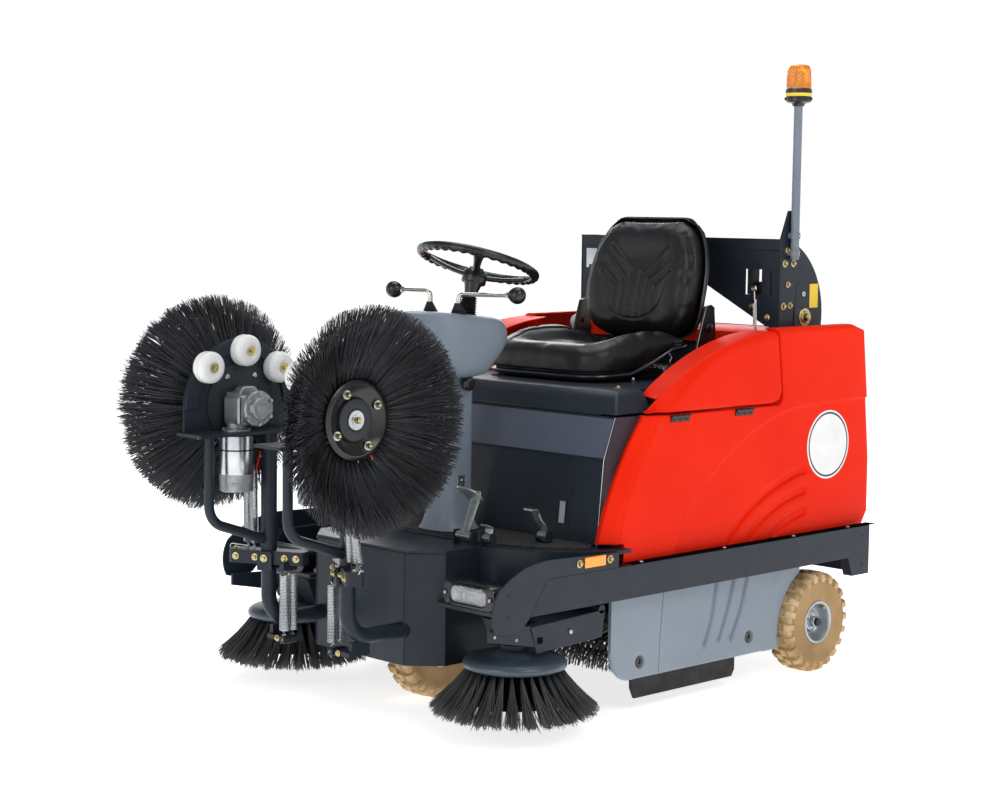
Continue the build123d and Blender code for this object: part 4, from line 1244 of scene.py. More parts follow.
def springs():
    """The zinc spring pairs on each head's post and each swing arm."""
    upper, lower = Shape(), Shape()
    for dx in (-11, 15):
        coil_spring(upper, (ARM_AT[0] + 28 + dx * 0.8, -742, 655), (ARM_AT[0] + 50 + dx, -722, 430), 10.5,
                    1.5, 3.6)
    for dy in (-14, 14):
        coil_spring(lower, (ARM_AT[0] - 62, -688 + dy, 386), (ARM_AT[0] - 62, -688 + dy, 206), 11.5, 1.6, 3.8)
    both_sides(upper, "head_springs_{}", "{}_head", ZINC)
    both_sides(lower, "arm_spring_coils_{}", "{}_swing_arm", ZINC, ("arm_springs_{}",))


def hinge_details():
    """Brass bolts, locking wires and small brackets round the hinge block."""
    x, y = ARM_AT
    block = Vector((cos(radians(-30)), sin(radians(-30)), 0))
    face = Vector((sin(radians(-30)), -cos(radians(-30)), 0))
    bolts = Shape()
    for reach in (-84, -52, 30, 84):
        bolts.hex_bolt(Vector((x, y, 412)) + block * reach + face * 23, face, 9.5)
    bolts.hex_bolt(Vector((x, y, 412)) + block * 92 + Vector((0, 0, 18)), UP, 8)
    both_sides(bolts, "hinge_bolts_{}", "{}_head", BRASS)
    pin = Shape()
    pin.hex_bolt(Vector((x, y, 412)) + face * 36, face, 10)
    pin.hex_bolt((x - 36, -704, 200), FRONT, 8.5)
    pin.hex_bolt((x - 64, -704, 200), FRONT, 7.5)
    both_sides(pin, "arm_bolts_{}", "{}_swing_arm", BRASS)
    lugs = Shape()
    lugs.block((16, 46, 22), (x - 62, -688, 392), 0, 2)
    lugs.block((18, 44, 20), (x - 62, -688, 212 - 12), 0, 2)
    both_sides(lugs, "spring_lugs_{}", "{}_swing_arm", PAINT)
    clip = Shape()
    for dx in (16, 34):
        clip.tube(smooth_path([(x + 60, -734, 420), (x + 60 + dx, -752, 424), (x + 66 + dx, -748, 438),
                               (x + 56, -730, 436)], 6), 1.4, 6)
    both_sides(clip, "hinge_wires_{}", "{}_head", ZINC)


head_drives()
head_rollers()
head_guard()
springs()
hinge_details()


def side_arm_boxes():
    """The boxed side arm with its shoulder plate and bolts."""
    box, bolts = Shape(), Shape()
    box.slab([(-418, 288), (-389, 217), (-147, 227), (-136, 299)], (350, 0, 0), REAR, UP, 168, 1.6)
    box.slab([(-556, 300), (-556, 268), (-392, 234), (-412, 292)], (510, 0, 0), REAR, UP, 8, 1.2)
    box.lathe([(195, 0), (195, 12), (218, 12), (218, 40), (222, 42), (232, 42)], (440, -388, 0), UP, 32, 0,
              caps=False)
    both_sides(box, "side_arm_box_{}", "{}_side_arm", PAINT, stands_for=("side_arm_{}",))
    for y, z in ((-537, 280), (-461, 262)):
        bolts.dome_screw((514, y, z), LEFT, 7)
    bolts.dome_screw((519, -268, 258), LEFT, 7)
    both_sides(bolts, "side_arm_bolts_{}", "{}_side_arm", ZINC)
    # A dark sheet in the square hole: painted shade inside it.
    hole = Shape()
    hole.block((1.4, 16, 16), (519.4, -378, 250), 0, 0.3)
    both_sides(hole, "side_arm_holes_{}", "{}_side_arm", SHADE_SHEET)


side_arm_boxes()


# ---------------------------------------------------------------- seat

SEAT_FRONT, SEAT_REAR, SEAT_HALF = 116.0, 572.0, 240.0
BACK_FOOT, BACK_HEAD = 944.0, 1304.0


def sheet_object(name, points, faces, material):
    """A mesh object in millimetre points, before it rides on anything."""
    mesh = bpy.data.meshes.new(name)
    mesh.from_pydata([(x * MM, y * MM, z * MM) for x, y, z in points], [], faces)
    mesh.materials.append(material)
    mesh.validate()
    obj = bpy.data.objects.new(name, mesh)
    scene.collection.objects.link(obj)
    return obj


def applied(obj):
    """The object's mesh with its modifiers worked in."""
    graph = bpy.context.evaluated_depsgraph_get()
    graph.update()
    made = bpy.data.meshes.new_from_object(obj.evaluated_get(graph))
    obj.modifiers.clear()
    obj.data = made
    return obj


def superellipse(half_a, half_b, power, count, start=0.0):
    ring = []
    for i in range(count):
        t = start + tau * i / count
        c, s = cos(t), sin(t)
        ring.append((half_a * abs(c) ** (2 / power) * (1 if c >= 0 else -1),
                     half_b * abs(s) ** (2 / power) * (1 if s >= 0 else -1)))
    return ring


def inflate(obj, pressure=4.0, cap=0.02, voxel=0.006):
    """Fill a closed cushion form like a stuffed cover, with its movement capped."""
    remesh = modify(obj, "REMESH", mode="VOXEL", voxel_size=voxel, use_smooth_shade=True)
    remesh.adaptivity = 0
    applied(obj)
    rest = np.array([v.co for v in obj.data.vertices])
    cloth = modify(obj, "CLOTH")
    cloth.settings.use_pressure = True
    cloth.settings.uniform_pressure_force = pressure
    cloth.settings.effector_weights.gravity = 0.0
    cloth.settings.quality = 6
    cloth.settings.tension_stiffness = 12
    cloth.settings.compression_stiffness = 12
    cloth.settings.bending_stiffness = 0.6
    cloth.point_cache.frame_end = 20
    for step in range(1, 21):
        scene.frame_set(step)
    applied(obj)
    scene.frame_set(1)
    moved = np.array([v.co for v in obj.data.vertices])
    shift = moved - rest
    length = np.linalg.norm(shift, axis=1, keepdims=True)
    shift *= np.minimum(1.0, cap / np.maximum(length, 1e-9))
    rest = rest + shift
    obj.data.vertices.foreach_set("co", rest.astype(np.float32).ravel())
    obj.data.update()
    modify(obj, "SMOOTH", factor=0.5, iterations=14)
    modify(obj, "SUBSURF", levels=1, render_levels=1)
    return applied(obj)


def vertex_arrays(obj):
    count = len(obj.data.vertices)
    place, normal = np.zeros(count * 3), np.zeros(count * 3)
    obj.data.vertices.foreach_get("co", place)
    obj.data.vertices.foreach_get("normal", normal)
    return place.reshape(-1, 3) / MM, normal.reshape(-1, 3)


def press(obj, place, normal, depth):
    """Move each point against its normal by its own depth in millimetres."""
    moved = (place - normal * depth[:, None]) * MM
    obj.data.vertices.foreach_set("co", moved.astype(np.float32).ravel())
    obj.data.update()


def channel(distance, width, deep, lip=0.0):
    """The cross-section of a sewn channel: a valley with a soft lip on each side."""
    raised = (np.abs(distance) - 2.2 * width) / (1.3 * width)
    return deep * np.exp(-(distance / width) ** 2) - lip * np.exp(-raised ** 2)


def finish_cushion(obj, body, node):
    obj.data.polygons.foreach_set("use_smooth", [True] * len(obj.data.polygons))
    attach(obj, body)
    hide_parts(node)


def loft_object(name, rings, material):
    shape = Shape().skin(rings)
    return sheet_object(name, shape.points, shape.faces, material)


def seat_outline(count=64):
    """The cushion's plan: straight sides, rounded corners, a little narrower towards the front."""
    ring = []
    for a, b in superellipse(1, 1, 5.5, count):
        width = SEAT_HALF - 4 - 9 * max(0.0, -b) ** 2 - 14 * max(0.0, b) ** 3
        ring.append((a * width, (SEAT_FRONT + SEAT_REAR) / 2 + b * ((SEAT_REAR - SEAT_FRONT) / 2 - 3)))
    return ring


def seat_foot(y):
    """Height of the cushion's lower edge: lowest at the front."""
    return 861 + 0.037 * (y - SEAT_FRONT) + 0.36 * min(max(y - 290, 0.0), 160)


def seat_crest(y):
    """Height of the cushion's upper edge: it rises from the front to the bolsters and falls to the rear."""
    rise = sin(0.5 * pi * min(1.0, max(0.0, (y - 122) / 230)))
    fall = 0.5 - 0.5 * cos(pi * min(1.0, max(0.0, (y - 400) / 170)))
    return 940 + 34 * rise - 20 * fall


def seat_cushion():
    """The bolstered seat: high side bolsters, a dished middle, a rolled front edge and a sewn border."""
    middle_y = (SEAT_FRONT + SEAT_REAR) / 2
    rings = []
    for level, share in ((0, 0.94), (0.06, 0.99), (0.2, 1.0), (0.5, 1.0), (0.74, 0.99), (0.88, 0.97),
                         (0.96, 0.935), (1.0, 0.89)):
        ring = []
        for x, y in seat_outline():
            place = middle_y + (y - middle_y) * share
            ring.append((x * share, place, seat_foot(y) + (seat_crest(y) - seat_foot(y)) * level))
        rings.append(ring)
    centre_z = 942
    top = [[(x * s, middle_y + (y - middle_y) * s, centre_z + (z - centre_z) * s ** 2) for x, y,
            z in rings[-1]]
           for s in (0.8, 0.55, 0.3, 0.1)]
    base = [[(x * s, middle_y + (y - middle_y) * s, 880 + (z - 880) * s) for x, y, z in rings[0]]
            for s in (0.1, 0.5, 0.85)]
    obj = inflate(loft_object("seat_cushion_cover", base + rings + top, VINYL), cap=0.01)
    place, normal = vertex_arrays(obj)
    x, y, z = place.T
    up = ease(normal[:, 2] - 0.25, 0.5)
    side = np.abs(x)
    dish = 19 * ease(168 - side, 55) * ease(y - 178, 80)
    slope = 8 * ease(y - 380, 170) * ease(186 - side, 60)
    bolster = -6 * ease(side - 166, 30) * ease(226 - side, 26) * ease(y - 210, 90)
    depth = up * (dish + slope + bolster)
    seam, _ = nearest_on([(180, 620), (176, 260), (150, 172)], np.stack([side, y], 1))
    depth += up * channel(seam, 3.0, 3.0, 0.8)
    front_seam, _ = nearest_on([(-158, 196), (0, 186), (158, 196)], np.stack([x, y], 1))
    depth += up * channel(front_seam, 3.2, 2.0, 0.6) * ease(156 - side, 20)
    for cy, reach, tilt in ((330, 70, 0.12), (372, 90, -0.08), (420, 100, 0.1), (462, 84, -0.06)):
        fold = (y - cy - tilt * x - 7 * np.sin(x / 46 + cy))
        depth += up * 1.2 * np.exp(-(fold / 9) ** 2) * ease(reach - side, 50)
    foot = 861 + 0.037 * (y - SEAT_FRONT) + 0.36 * np.clip(y - 290, 0, 160)
    depth += channel(z - foot - 13, 2.4, 1.6, 0.4) * (1 - up)
    press(obj, place, normal, depth)
    finish_cushion(obj, "seat", "seat_cushion")

    edge = Shape()
    rim = [(px * 0.99, middle_y + (py - middle_y) * 0.99, seat_foot(py) + 3) for px, py in seat_outline(112)]
    edge.tube(rim, 4.0, 8, caps=False, loop=True)
    edge.piece("seat_cushion_piping", "seat", PIPING)
    tray = Shape()
    flat = [(px * 0.975, middle_y + (py - middle_y) * 0.975) for px, py in seat_outline(96)]
    tray.skin([[(a * s, middle_y + (b - middle_y) * s, seat_foot(b) + dz) for a, b in flat]
               for s, dz in ((0.5, -7), (0.96, -9), (0.99, -7), (1.0, -3), (1.0, 5))])
    tray.piece("seat_tray", "seat", PLASTIC)


BACK_WIDTHS = ((0.0, 122), (0.03, 158), (0.08, 184), (0.15, 200), (0.27, 212), (0.42, 219), (0.58, 219),
               (0.7, 212),
               (0.8, 200), (0.88, 184), (0.95, 160), (1.0, 128))


def back_width(share):
    """Half the backrest's width at a share of its height: full in the middle, rounded at head and foot."""
    for (low, first), (high, second) in zip(BACK_WIDTHS, BACK_WIDTHS[1:]):
        if share <= high:
            t = (share - low) / (high - low)
            return first + (second - first) * t
    return BACK_WIDTHS[-1][1]


def back_frame(share):
    """Middle of the backrest's front face and its rear face at a share of its height (Y values)."""
    lean = 92 * max(0.0, share - 0.3) ** 1.3
    return 524 + 1.18 * lean, 622 + 0.74 * lean


def back_ring(share, thick, count=56):
    """One level of the backrest: wings that wrap forwards at the sides, and a rounded back."""
    half = back_width(share)
    front, rear = back_frame(share)
    middle = (front + rear) / 2
    ring = []
    for a, b in superellipse(1, 1, 3.4, count):
        wing = -15 * abs(a) ** 3 * (1 - 0.5 * share)
        y = middle + b * (rear - front) / 2 * (1 - 0.14 * a * a) * thick
        ring.append((a * half, y + (wing if b < 0 else 0)))
    return ring


FISHBONE = (((112, 1226), (34, 1160), (18, 1140), (17, 1024)),
            ((132, 1190), (62, 1138), (46, 1116), (44, 1030)),
            ((136, 1152), (90, 1118), (76, 1098), (74, 1046)))


def backrest():
    """The backrest: crowned, with wings, three nested sewn lines on each side and an arc below them."""
    rings = []
    for share, thick in ((0.0, 0.35), (0.02, 0.62), (0.06, 0.82), (0.12, 0.94), (0.2, 1.0), (0.32, 1.0),
                         (0.45, 1.0),
                         (0.58, 1.0), (0.7, 1.0), (0.8, 1.0), (0.88, 0.97), (0.94, 0.92), (0.98, 0.8),
                         (1.0, 0.6)):
        z = BACK_FOOT + 6 + (BACK_HEAD - BACK_FOOT - 12) * share
        rings.append([(x, y, z) for x, y in back_ring(share, thick)])
    obj = inflate(loft_object("seat_back_cover", rings, VINYL), cap=0.01)
    place, normal = vertex_arrays(obj)
    x, y, z = place.T
    front = ease(-normal[:, 1] - 0.2, 0.4)
    side = np.abs(x)
    flat = np.stack([side, z], 1)
    depth = 12 * ease(150 - side, 70) * ease(z - 985, 60) * ease(1262 - z, 80) * front
    for line in FISHBONE:
        gap, _ = nearest_on(smooth_flat(line), flat)
        depth += front * channel(gap, 3.4, 3.6, 1.5)
    arc, _ = nearest_on(smooth_flat([(0, 1006), (46, 1014), (92, 1042), (118, 1084), (132, 1152)]), flat)
    depth += front * channel(arc, 3.0, 2.2, 0.8)
    wing, _ = nearest_on(smooth_flat([(150, 985), (182, 1040), (192, 1120), (180, 1200), (150, 1256)]), flat)
    depth += front * channel(wing, 7.0, 2.6, 0.6)
    press(obj, place, normal, depth)
    finish_cushion(obj, "backrest", "seat_back")

    shell = Shape()
    shares = [k / 18 for k in range(19)]

    def height(share):
        return BACK_FOOT + 2 + (BACK_HEAD - BACK_FOOT - 4) * share

    loops = []
    for share in shares:
        half = back_width(share) + 2
        rear_y = back_frame(share)[1] - 16 * (max(0.0, share - 0.9) / 0.1) ** 2
        outer = [(half * (-1 + k / 12), rear_y + 12 - 34 * abs(-1 + k / 12) ** 4,
                  height(share)) for k in range(25)]
        inner = [(px * 0.985, py - 13, pz) for px, py, pz in outer]
        loops.append(outer + inner[::-1])
    shell.skin(loops)
    shell.piece("seat_back_shell", "backrest", PLASTIC, smooth=50)
    piping = Shape()
    edge = [(back_width(s) + 1, back_frame(s)[1] - 34, height(s)) for s in shares]
    over = [(x * (back_width(1.0) + 1), back_frame(1.0)[1] - 36, height(1.0) + 2) for x in (0.5, 0, -0.5)]
    piping.tube(smooth_path(edge + over + [(-px, py, pz) for px, py, pz in reversed(edge)], 4), 3.2, 8)
    piping.piece("seat_back_piping", "backrest", PIPING)


def smooth_flat(points):
    """A smooth flat line through (a, b) points."""
    return [(p.x, p.y) for p in smooth_path([(a, b, 0) for a, b in points], 8)]


def seat_hardware():
    """Bellows round the suspension, side brackets with latch and bolt, and the grip of the height lever."""
    bellows = Shape()
    rings = []
    for k in range(7):
        z = 850.5 + 20.5 * k / 6
        swell = 1.0 if k % 2 else 0.955
        rings.append([(a, 430 + b, z) for a, b in rounded([(-194 * swell, -238 * swell),
                                                           (194 * swell, -238 * swell),
                                                           (194 * swell, 170 * swell),
                                                           (-194 * swell, 170 * swell)],
                                                          40, 8)])
    bellows.skin(rings)
    bellows.piece("seat_bellows", "seat", RUBBER, smooth=25)
    latch = Shape()
    for sign in (1, -1):
        latch.lathe([(0, 15), (4, 15), (5, 13), (5, 0)], (sign * 250, 580, 990), (sign, 0, 0), 24)
        latch.hex_bolt((sign * 255, 580, 990), (sign, 0, 0), 9, washer=False)
        latch.hex_bolt((sign * 250, 470, 868), (sign, 0, 0), 8)
    latch.piece("seat_latches", "seat", PLASTIC)
    knob = Shape()
    knob.lathe([(0, 0), (0, 17), (4, 20), (30, 21), (36, 18), (38, 0)], (-254, 588, 984), RIGHT, 28)
    knob.piece("recliner_knob", "seat", KNOB_GREY)
    catch = Shape()
    catch.tube(smooth_path([(252, 402, 924), (257, 410, 912), (257, 404, 900), (252, 412, 888)], 6), 2.6, 8)
    for sign in (1, -1):
        line = [(400, 880), (520, 905), (552, 1005), (568, 1052), (590, 1056), (606, 1046)]
        catch.tube([(sign * 250.4, py, pz) for py, pz in line], 1.1, 6)
    catch.hex_bolt((214, 296, 850), UP, 9)
    catch.piece("seat_catch", "seat", ZINC)
    grip = Shape()
    grip.lathe([(0, 8), (2, 10), (60, 11), (96, 13), (108, 12.5), (113, 9), (115, 0)], (278, 457, 876),
               FRONT, 28)
    grip.piece("seat_lever_grip", "seat_handle", PLASTIC)


seat_cushion()
backrest()
seat_hardware()


# ---------------------------------------------------------------- steering wheel, console, levers, pedals

WHEEL_AT = Vector((0, -108, 1177))
WHEEL_TILT = radians(18)
WHEEL_UP = Vector((0, sin(WHEEL_TILT), cos(WHEEL_TILT)))
WHEEL_SIDE = Vector(LEFT)
WHEEL_AHEAD = WHEEL_UP.cross(WHEEL_SIDE)
RIM_MAJOR, RIM_MINOR = 159.0, 13.0


def on_wheel(radius, angle, height):
    """A point at a radius and angle of the steering wheel, and a height above its rim's plane."""
    return WHEEL_AT + (WHEEL_SIDE * cos(angle) + WHEEL_AHEAD * sin(angle)) * radius + WHEEL_UP * height


def steering_wheel():
    """A rim with finger grips on its underside, three dished spokes, and a hub with a cap."""
    rim = Shape()
    rings = []
    steps, sides = 180, 16
    for i in range(steps):
        angle = tau * i / steps
        ring = []
        for k in range(sides):
            turn = tau * k / sides
            under = max(0.0, -sin(turn))
            grip = 1.0 + under * 0.16 * cos(angle * 36)
            radius = RIM_MAJOR + RIM_MINOR * cos(turn) * (1 + 0.02 * cos(angle * 36))
            ring.append(on_wheel(radius, angle, RIM_MINOR * sin(turn) * grip * 0.96))
        rings.append(ring)
    rim.skin(rings, loop=True)
    for spoke in (76, 196, 316):
        angle = radians(spoke)
        along = WHEEL_SIDE * cos(angle) + WHEEL_AHEAD * sin(angle)
        side = WHEEL_UP.cross(along)
        sections = []
        for share in (0.0, 0.12, 0.3, 0.5, 0.7, 0.86, 1.0):
            radius = 18 + (RIM_MAJOR - 4 - 18) * share
            drop = -36 * (1 - share ** 1.5)
            half = 15 - 5 * sin(share * pi) + 3 * share ** 4
            centre = on_wheel(radius, angle, drop)
            sections.append([centre + side * a + WHEEL_UP * b for a, b in superellipse(half, 6.5, 2.8, 16)])
        rim.skin(sections)
    hub = WHEEL_AT - WHEEL_UP * 58
    rim.lathe([(0, 24), (0, 32), (4, 34), (26, 33), (34, 30), (38, 24), (40, 22), (42, 21), (43, 0)],
              hub, WHEEL_UP, 40)
    rim.lathe([(-120, 11.9), (0, 11.9)], hub, WHEEL_UP, 20)
    rim.lathe([(-34, 0), (-34, 17), (-20, 19), (0, 25)], hub, WHEEL_UP, 28)
    rim.piece("steering_wheel_grip", "steering", PLASTIC, stands_for=("steering_wheel",))
    boot = Shape()
    profile = []
    for k in range(9):
        profile += [(10 * k * 0.62, 30 - 1.1 * k), (10 * k * 0.62 + 3.1, 23 - 1.0 * k)]
    boot.lathe([(0, 0), *profile, (56, 0)], WHEEL_AT - WHEEL_UP * 147, WHEEL_UP, 36)
    boot.piece("column_boot", "chassis", RUBBER)


CONSOLE_SIDE = [(-332, 1044), (-290, 1049), (-180, 1040), (-96, 1030), (-66, 1014), (-54, 984), (-70, 946),
                (-128, 894), (-166, 876), (-250, 872), (-284, 884), (-330, 920), (-347, 956), (-347, 1020)]


def console():
    """The tank-shaped head with rolled edges on a flared column."""
    outline = smooth_flat([*CONSOLE_SIDE, CONSOLE_SIDE[0]])[:-1][::-1]
    middle = Vector((-205, 962))
    rings = []
    for k in range(33):
        turn = pi * (k / 32 - 0.5)
        x = 108 * sin(turn)
        plan = (1 - min(1.0, abs(sin(turn))) ** 3.5) ** (1 / 3.5)
        tall = (1 - min(1.0, abs(sin(turn))) ** 6) ** (1 / 6)
        rings.append([(x, middle.x + (a - middle.x) * max(plan, 0.02),
                       middle.y + (b - middle.y) * max(tall, 0.02))
                      for a, b in outline])
    head = Shape().skin(rings)
    column = []
    for z, half, corner in ((455, 75, 3.0), (458, 74, 3.0), (470, 66, 3.0), (486, 60, 3.2), (506, 55, 3.4),
                            (530, 52.5, 3.6), (600, 51, 3.8), (760, 51, 3.8), (880, 51, 3.8), (905, 52, 3.8)):
        column.append([(a, -208 + b, z) for a, b in superellipse(half, half, corner, 48)])
    head.skin(column)
    head.piece("console_cover", "chassis", GREY, stands_for=("console",), smooth=50)
    seam = Shape()
    seam.skin([[(a, -208 + b, z) for a, b in superellipse(r, r, 3.0, 48)]
               for z, r in ((455, 79), (457.5, 79), (458.5, 77), (458.5, 74))])
    seam.piece("console_foot_gasket", "chassis", RUBBER)
    bits = Shape()
    for z in (575, 592):
        bits.dome_screw((51, -214 + (z - 575) * 0.3, z), LEFT, 4.6)
    bits.slab(rounded([(-13, -22), (13, -22), (13, 22), (-13, 22)], 3), (50.4, -212, 584), REAR, UP, 1.6,
              0.4)
    bits.piece("column_plate", "chassis", ZINC)
    knob = Shape()
    knob.lathe([(0, 11), (8, 11), (10, 17), (14, 20), (24, 20), (29, 17), (31, 9), (31, 0)], (50, -206, 856),
               LEFT, 32)
    knob.lathe([(29.5, 8), (33, 8), (33, 0)], (50, -206, 856), LEFT, 20)
    knob.piece("column_knob", "chassis", PLASTIC)


LEVERS = {"left": ((55, -233), (185, -140), 1096), "right": ((-55, -233), (-170, -262), 1102)}


def levers():
    """Chromed bars bent over above ribbed boots, with black ball knobs."""
    for side, ((fx, fy), (bx, by), top) in LEVERS.items():
        foot, ball = Vector((fx, fy, 1046)), Vector((bx, by, top))
        over = Vector((fx, fy, top))
        out = (ball - over).normalized()
        bar = Shape()
        corner = [over - Vector(UP) * 16 * (1 - t) ** 2 + out * 16 * t * t for t in (0, 0.25, 0.5, 0.75, 1)]
        bar.tube([foot, *corner, ball - out * 12], 6.0, 14)
        bar.lathe([(-30, 6), (-30, 8.6), (-14, 8.6), (-12, 7)], ball, out, 6)
        bar.piece(f"lever_bar_{side}", f"{side}_lever", CHROME, stands_for=(f"lever_{side}",))
        knob = Shape()
        knob.lathe([(-24, 8), (-23.4, 9.5)] + [(-23.5 * cos(pi * k / 14), 23.5 * sin(pi * k / 14))
                                                for k in range(3, 15)], ball, out, 32)
        knob.piece(f"lever_ball_{side}", f"{side}_lever", PLASTIC)
        boot = Shape()
        profile = [(-6, 0), (-6, 27)]
        for k in range(5):
            profile += [(k * 6.0, 25 - 3.4 * k), (k * 6.0 + 2.2, 19 - 2.4 * k),
                        (k * 6.0 + 4.0, 19.5 - 2.5 * k)]
        boot.lathe([*profile, (31, 8), (31, 0)], (fx, fy, 1042), (0, -0.1, 1), 28)
        boot.piece(f"lever_boot_{side}", "chassis", RUBBER)


def bent_strip(shape, profile, x, width, thick, bends=5, slot=0, widths=None):
    """A plate bent along a (y, z) profile; widths give its half width at each profile point."""
    line = [Vector((0, y, z)) for y, z in profile]
    path = [line[0]]
    for a, b, c in zip(line, line[1:], line[2:]):
        reach = min(9.0, 0.45 * (b - a).length, 0.45 * (c - b).length)
        start, stop = b + (a - b).normalized() * reach, b + (c - b).normalized() * reach
        for k in range(bends + 1):
            t = k / bends
            path.append(start * (1 - t) ** 2 + b * 2 * t * (1 - t) + stop * t * t)
    path.append(line[-1])
    total = sum((q - p).length for p, q in zip(path, path[1:]))
    walked, rings = 0.0, []
    spans = widths or [width / 2, width / 2]
    for i, point in enumerate(path):
        if i:
            walked += (point - path[i - 1]).length
        share = walked / total * (len(spans) - 1)
        low = min(int(share), len(spans) - 2)
        half = spans[low] + (spans[low + 1] - spans[low]) * (share - low)
        ahead = (path[min(i + 1, len(path) - 1)] - path[max(i - 1, 0)]).normalized()
        up = Vector(LEFT).cross(ahead)
        rings.append([point + Vector((x + a, 0, 0)) + up * b
                      for a, b in rounded([(-half, -thick / 2), (half, -thick / 2), (half, thick / 2),
                                           (-half, thick / 2)], 1.2, 2)])
    shape.skin(rings, slot)


def pedals():
    """A perforated curved drive pedal on its arm, a small bracket pedal and the S-bent parking pedal."""
    drive = Shape()
    px, py = 198.0, -335.0
    bent_strip(drive, [(py - 2, 470), (py + 4, 484), (py + 40, 572), (py + 38, 586)], px, 30, 5,
               widths=[11, 12, 15, 17])
    rows = []
    for k in range(13):
        t = k / 12
        y = py + 52 - 66 * t
        z = 556 + 66 * t - 20 * t * t
        half = 33 * (1 - abs(2 * t - 0.9) ** 4 * 0.6)
        out = Vector((0, 0.75 - 0.4 * t, 0.5 + 0.4 * t)).normalized()
        centre = Vector((px, y - 6, z))
        rows.append([centre + Vector((a, 0, 0)) + out * b
                     for a, b in [(-half, -1.5), (half, -1.5), (half, 1.5), (-half, 1.5)]])
    drive.skin(rows, 0)
    drive.lathe([(-27, 0), (-27, 10.6), (27, 10.6), (27, 0)], (px, py, 472), LEFT, 24)
    drive.piece("drive_pedal_arm_plate", "drive_pedal_arm", PEDAL_ZINC,
                stands_for=("drive_pedal",), smooth=30)
    holes = Shape()
    for k, count in ((2.6, 2), (5.0, 3), (7.4, 2), (9.6, 1)):
        t = k / 12
        out = Vector((0, 0.75 - 0.4 * t, 0.5 + 0.4 * t)).normalized()
        spot = Vector((px, py + 46 - 66 * t, 556 + 66 * t - 20 * t * t))
        for c in range(count):
            across_pad = (c - (count - 1) / 2) * 15
            holes.lathe([(1.0, 0), (1.0, 4), (2.1, 4.6), (2.1, 3.4), (1.3, 3.0)],
                        spot + Vector((across_pad, 0, 0)), out, 16, 0, caps=False)
    holes.piece("drive_pedal_grips", "drive_pedal_arm", RUBBER)
    brake = Shape()
    bx, by = 265.0, -315.0
    bent_strip(brake, [(by, 472), (by + 3, 490), (by + 3, 500), (by - 16, 507)], bx, 28, 4)
    brake.lathe([(-14, 0), (-14, 10.6), (14, 10.6), (14, 0)], (bx, by, 472), LEFT, 24)
    brake.slab(rectangle(14, 18, 3), (bx, by + 2.4, 484), LEFT, UP, 1.6, 0.4)
    brake.piece("brake_pedal_plate", "brake_pedal_arm", PEDAL_ZINC, stands_for=("brake_pedal",))
    parking = Shape()
    kx, ky = 330.0, -176.0
    bent_strip(parking, [(ky, 472), (ky + 2, 488), (ky - 10, 504), (ky - 22, 516), (ky - 30, 536),
                         (ky - 36, 544),
                         (ky - 60, 546)], kx, 30, 5, widths=[12, 13, 15, 13, 12, 15, 16])
    parking.lathe([(-16, 0), (-16, 10.6), (16, 10.6), (16, 0)], (kx, ky, 472), LEFT, 24)
    parking.piece("parking_pedal_plate", "parking_pedal_arm", PEDAL_ZINC,
                  stands_for=("parking_pedal",))
    treads = Shape()
    for k in range(4):
        treads.block((28, 3, 2.2), (kx, ky - 40 - 6 * k, 549), 0, 0.6)
    treads.piece("parking_pedal_treads", "parking_pedal_arm", RUBBER)


steering_wheel()
console()
levers()
pedals()


# ---------------------------------------------------------------- wheels

SIDEWALL = plain_finish("sidewall_rubber", "8f7040", "b39162", (0.5, 0.7), grain=300.0, depth=0.0002,
                        clouds=9.0)
# Darker brown for the small marks sunk into the tread's lugs.
TREAD_DARK_MARKS = plain_finish("tread_dark_mark", "6d5a41", "8a7355", (0.75, 0.9), grain=400.0, depth=0.0002,
                           clouds=60.0)
TYRE_R, LUGS = 146.0, 22
LUG_LINE = [(1.5, 145.6), (16, 146.0), (30, 144.6), (39, 140.5), (43.6, 133), (44.6, 124), (44.0, 117)]


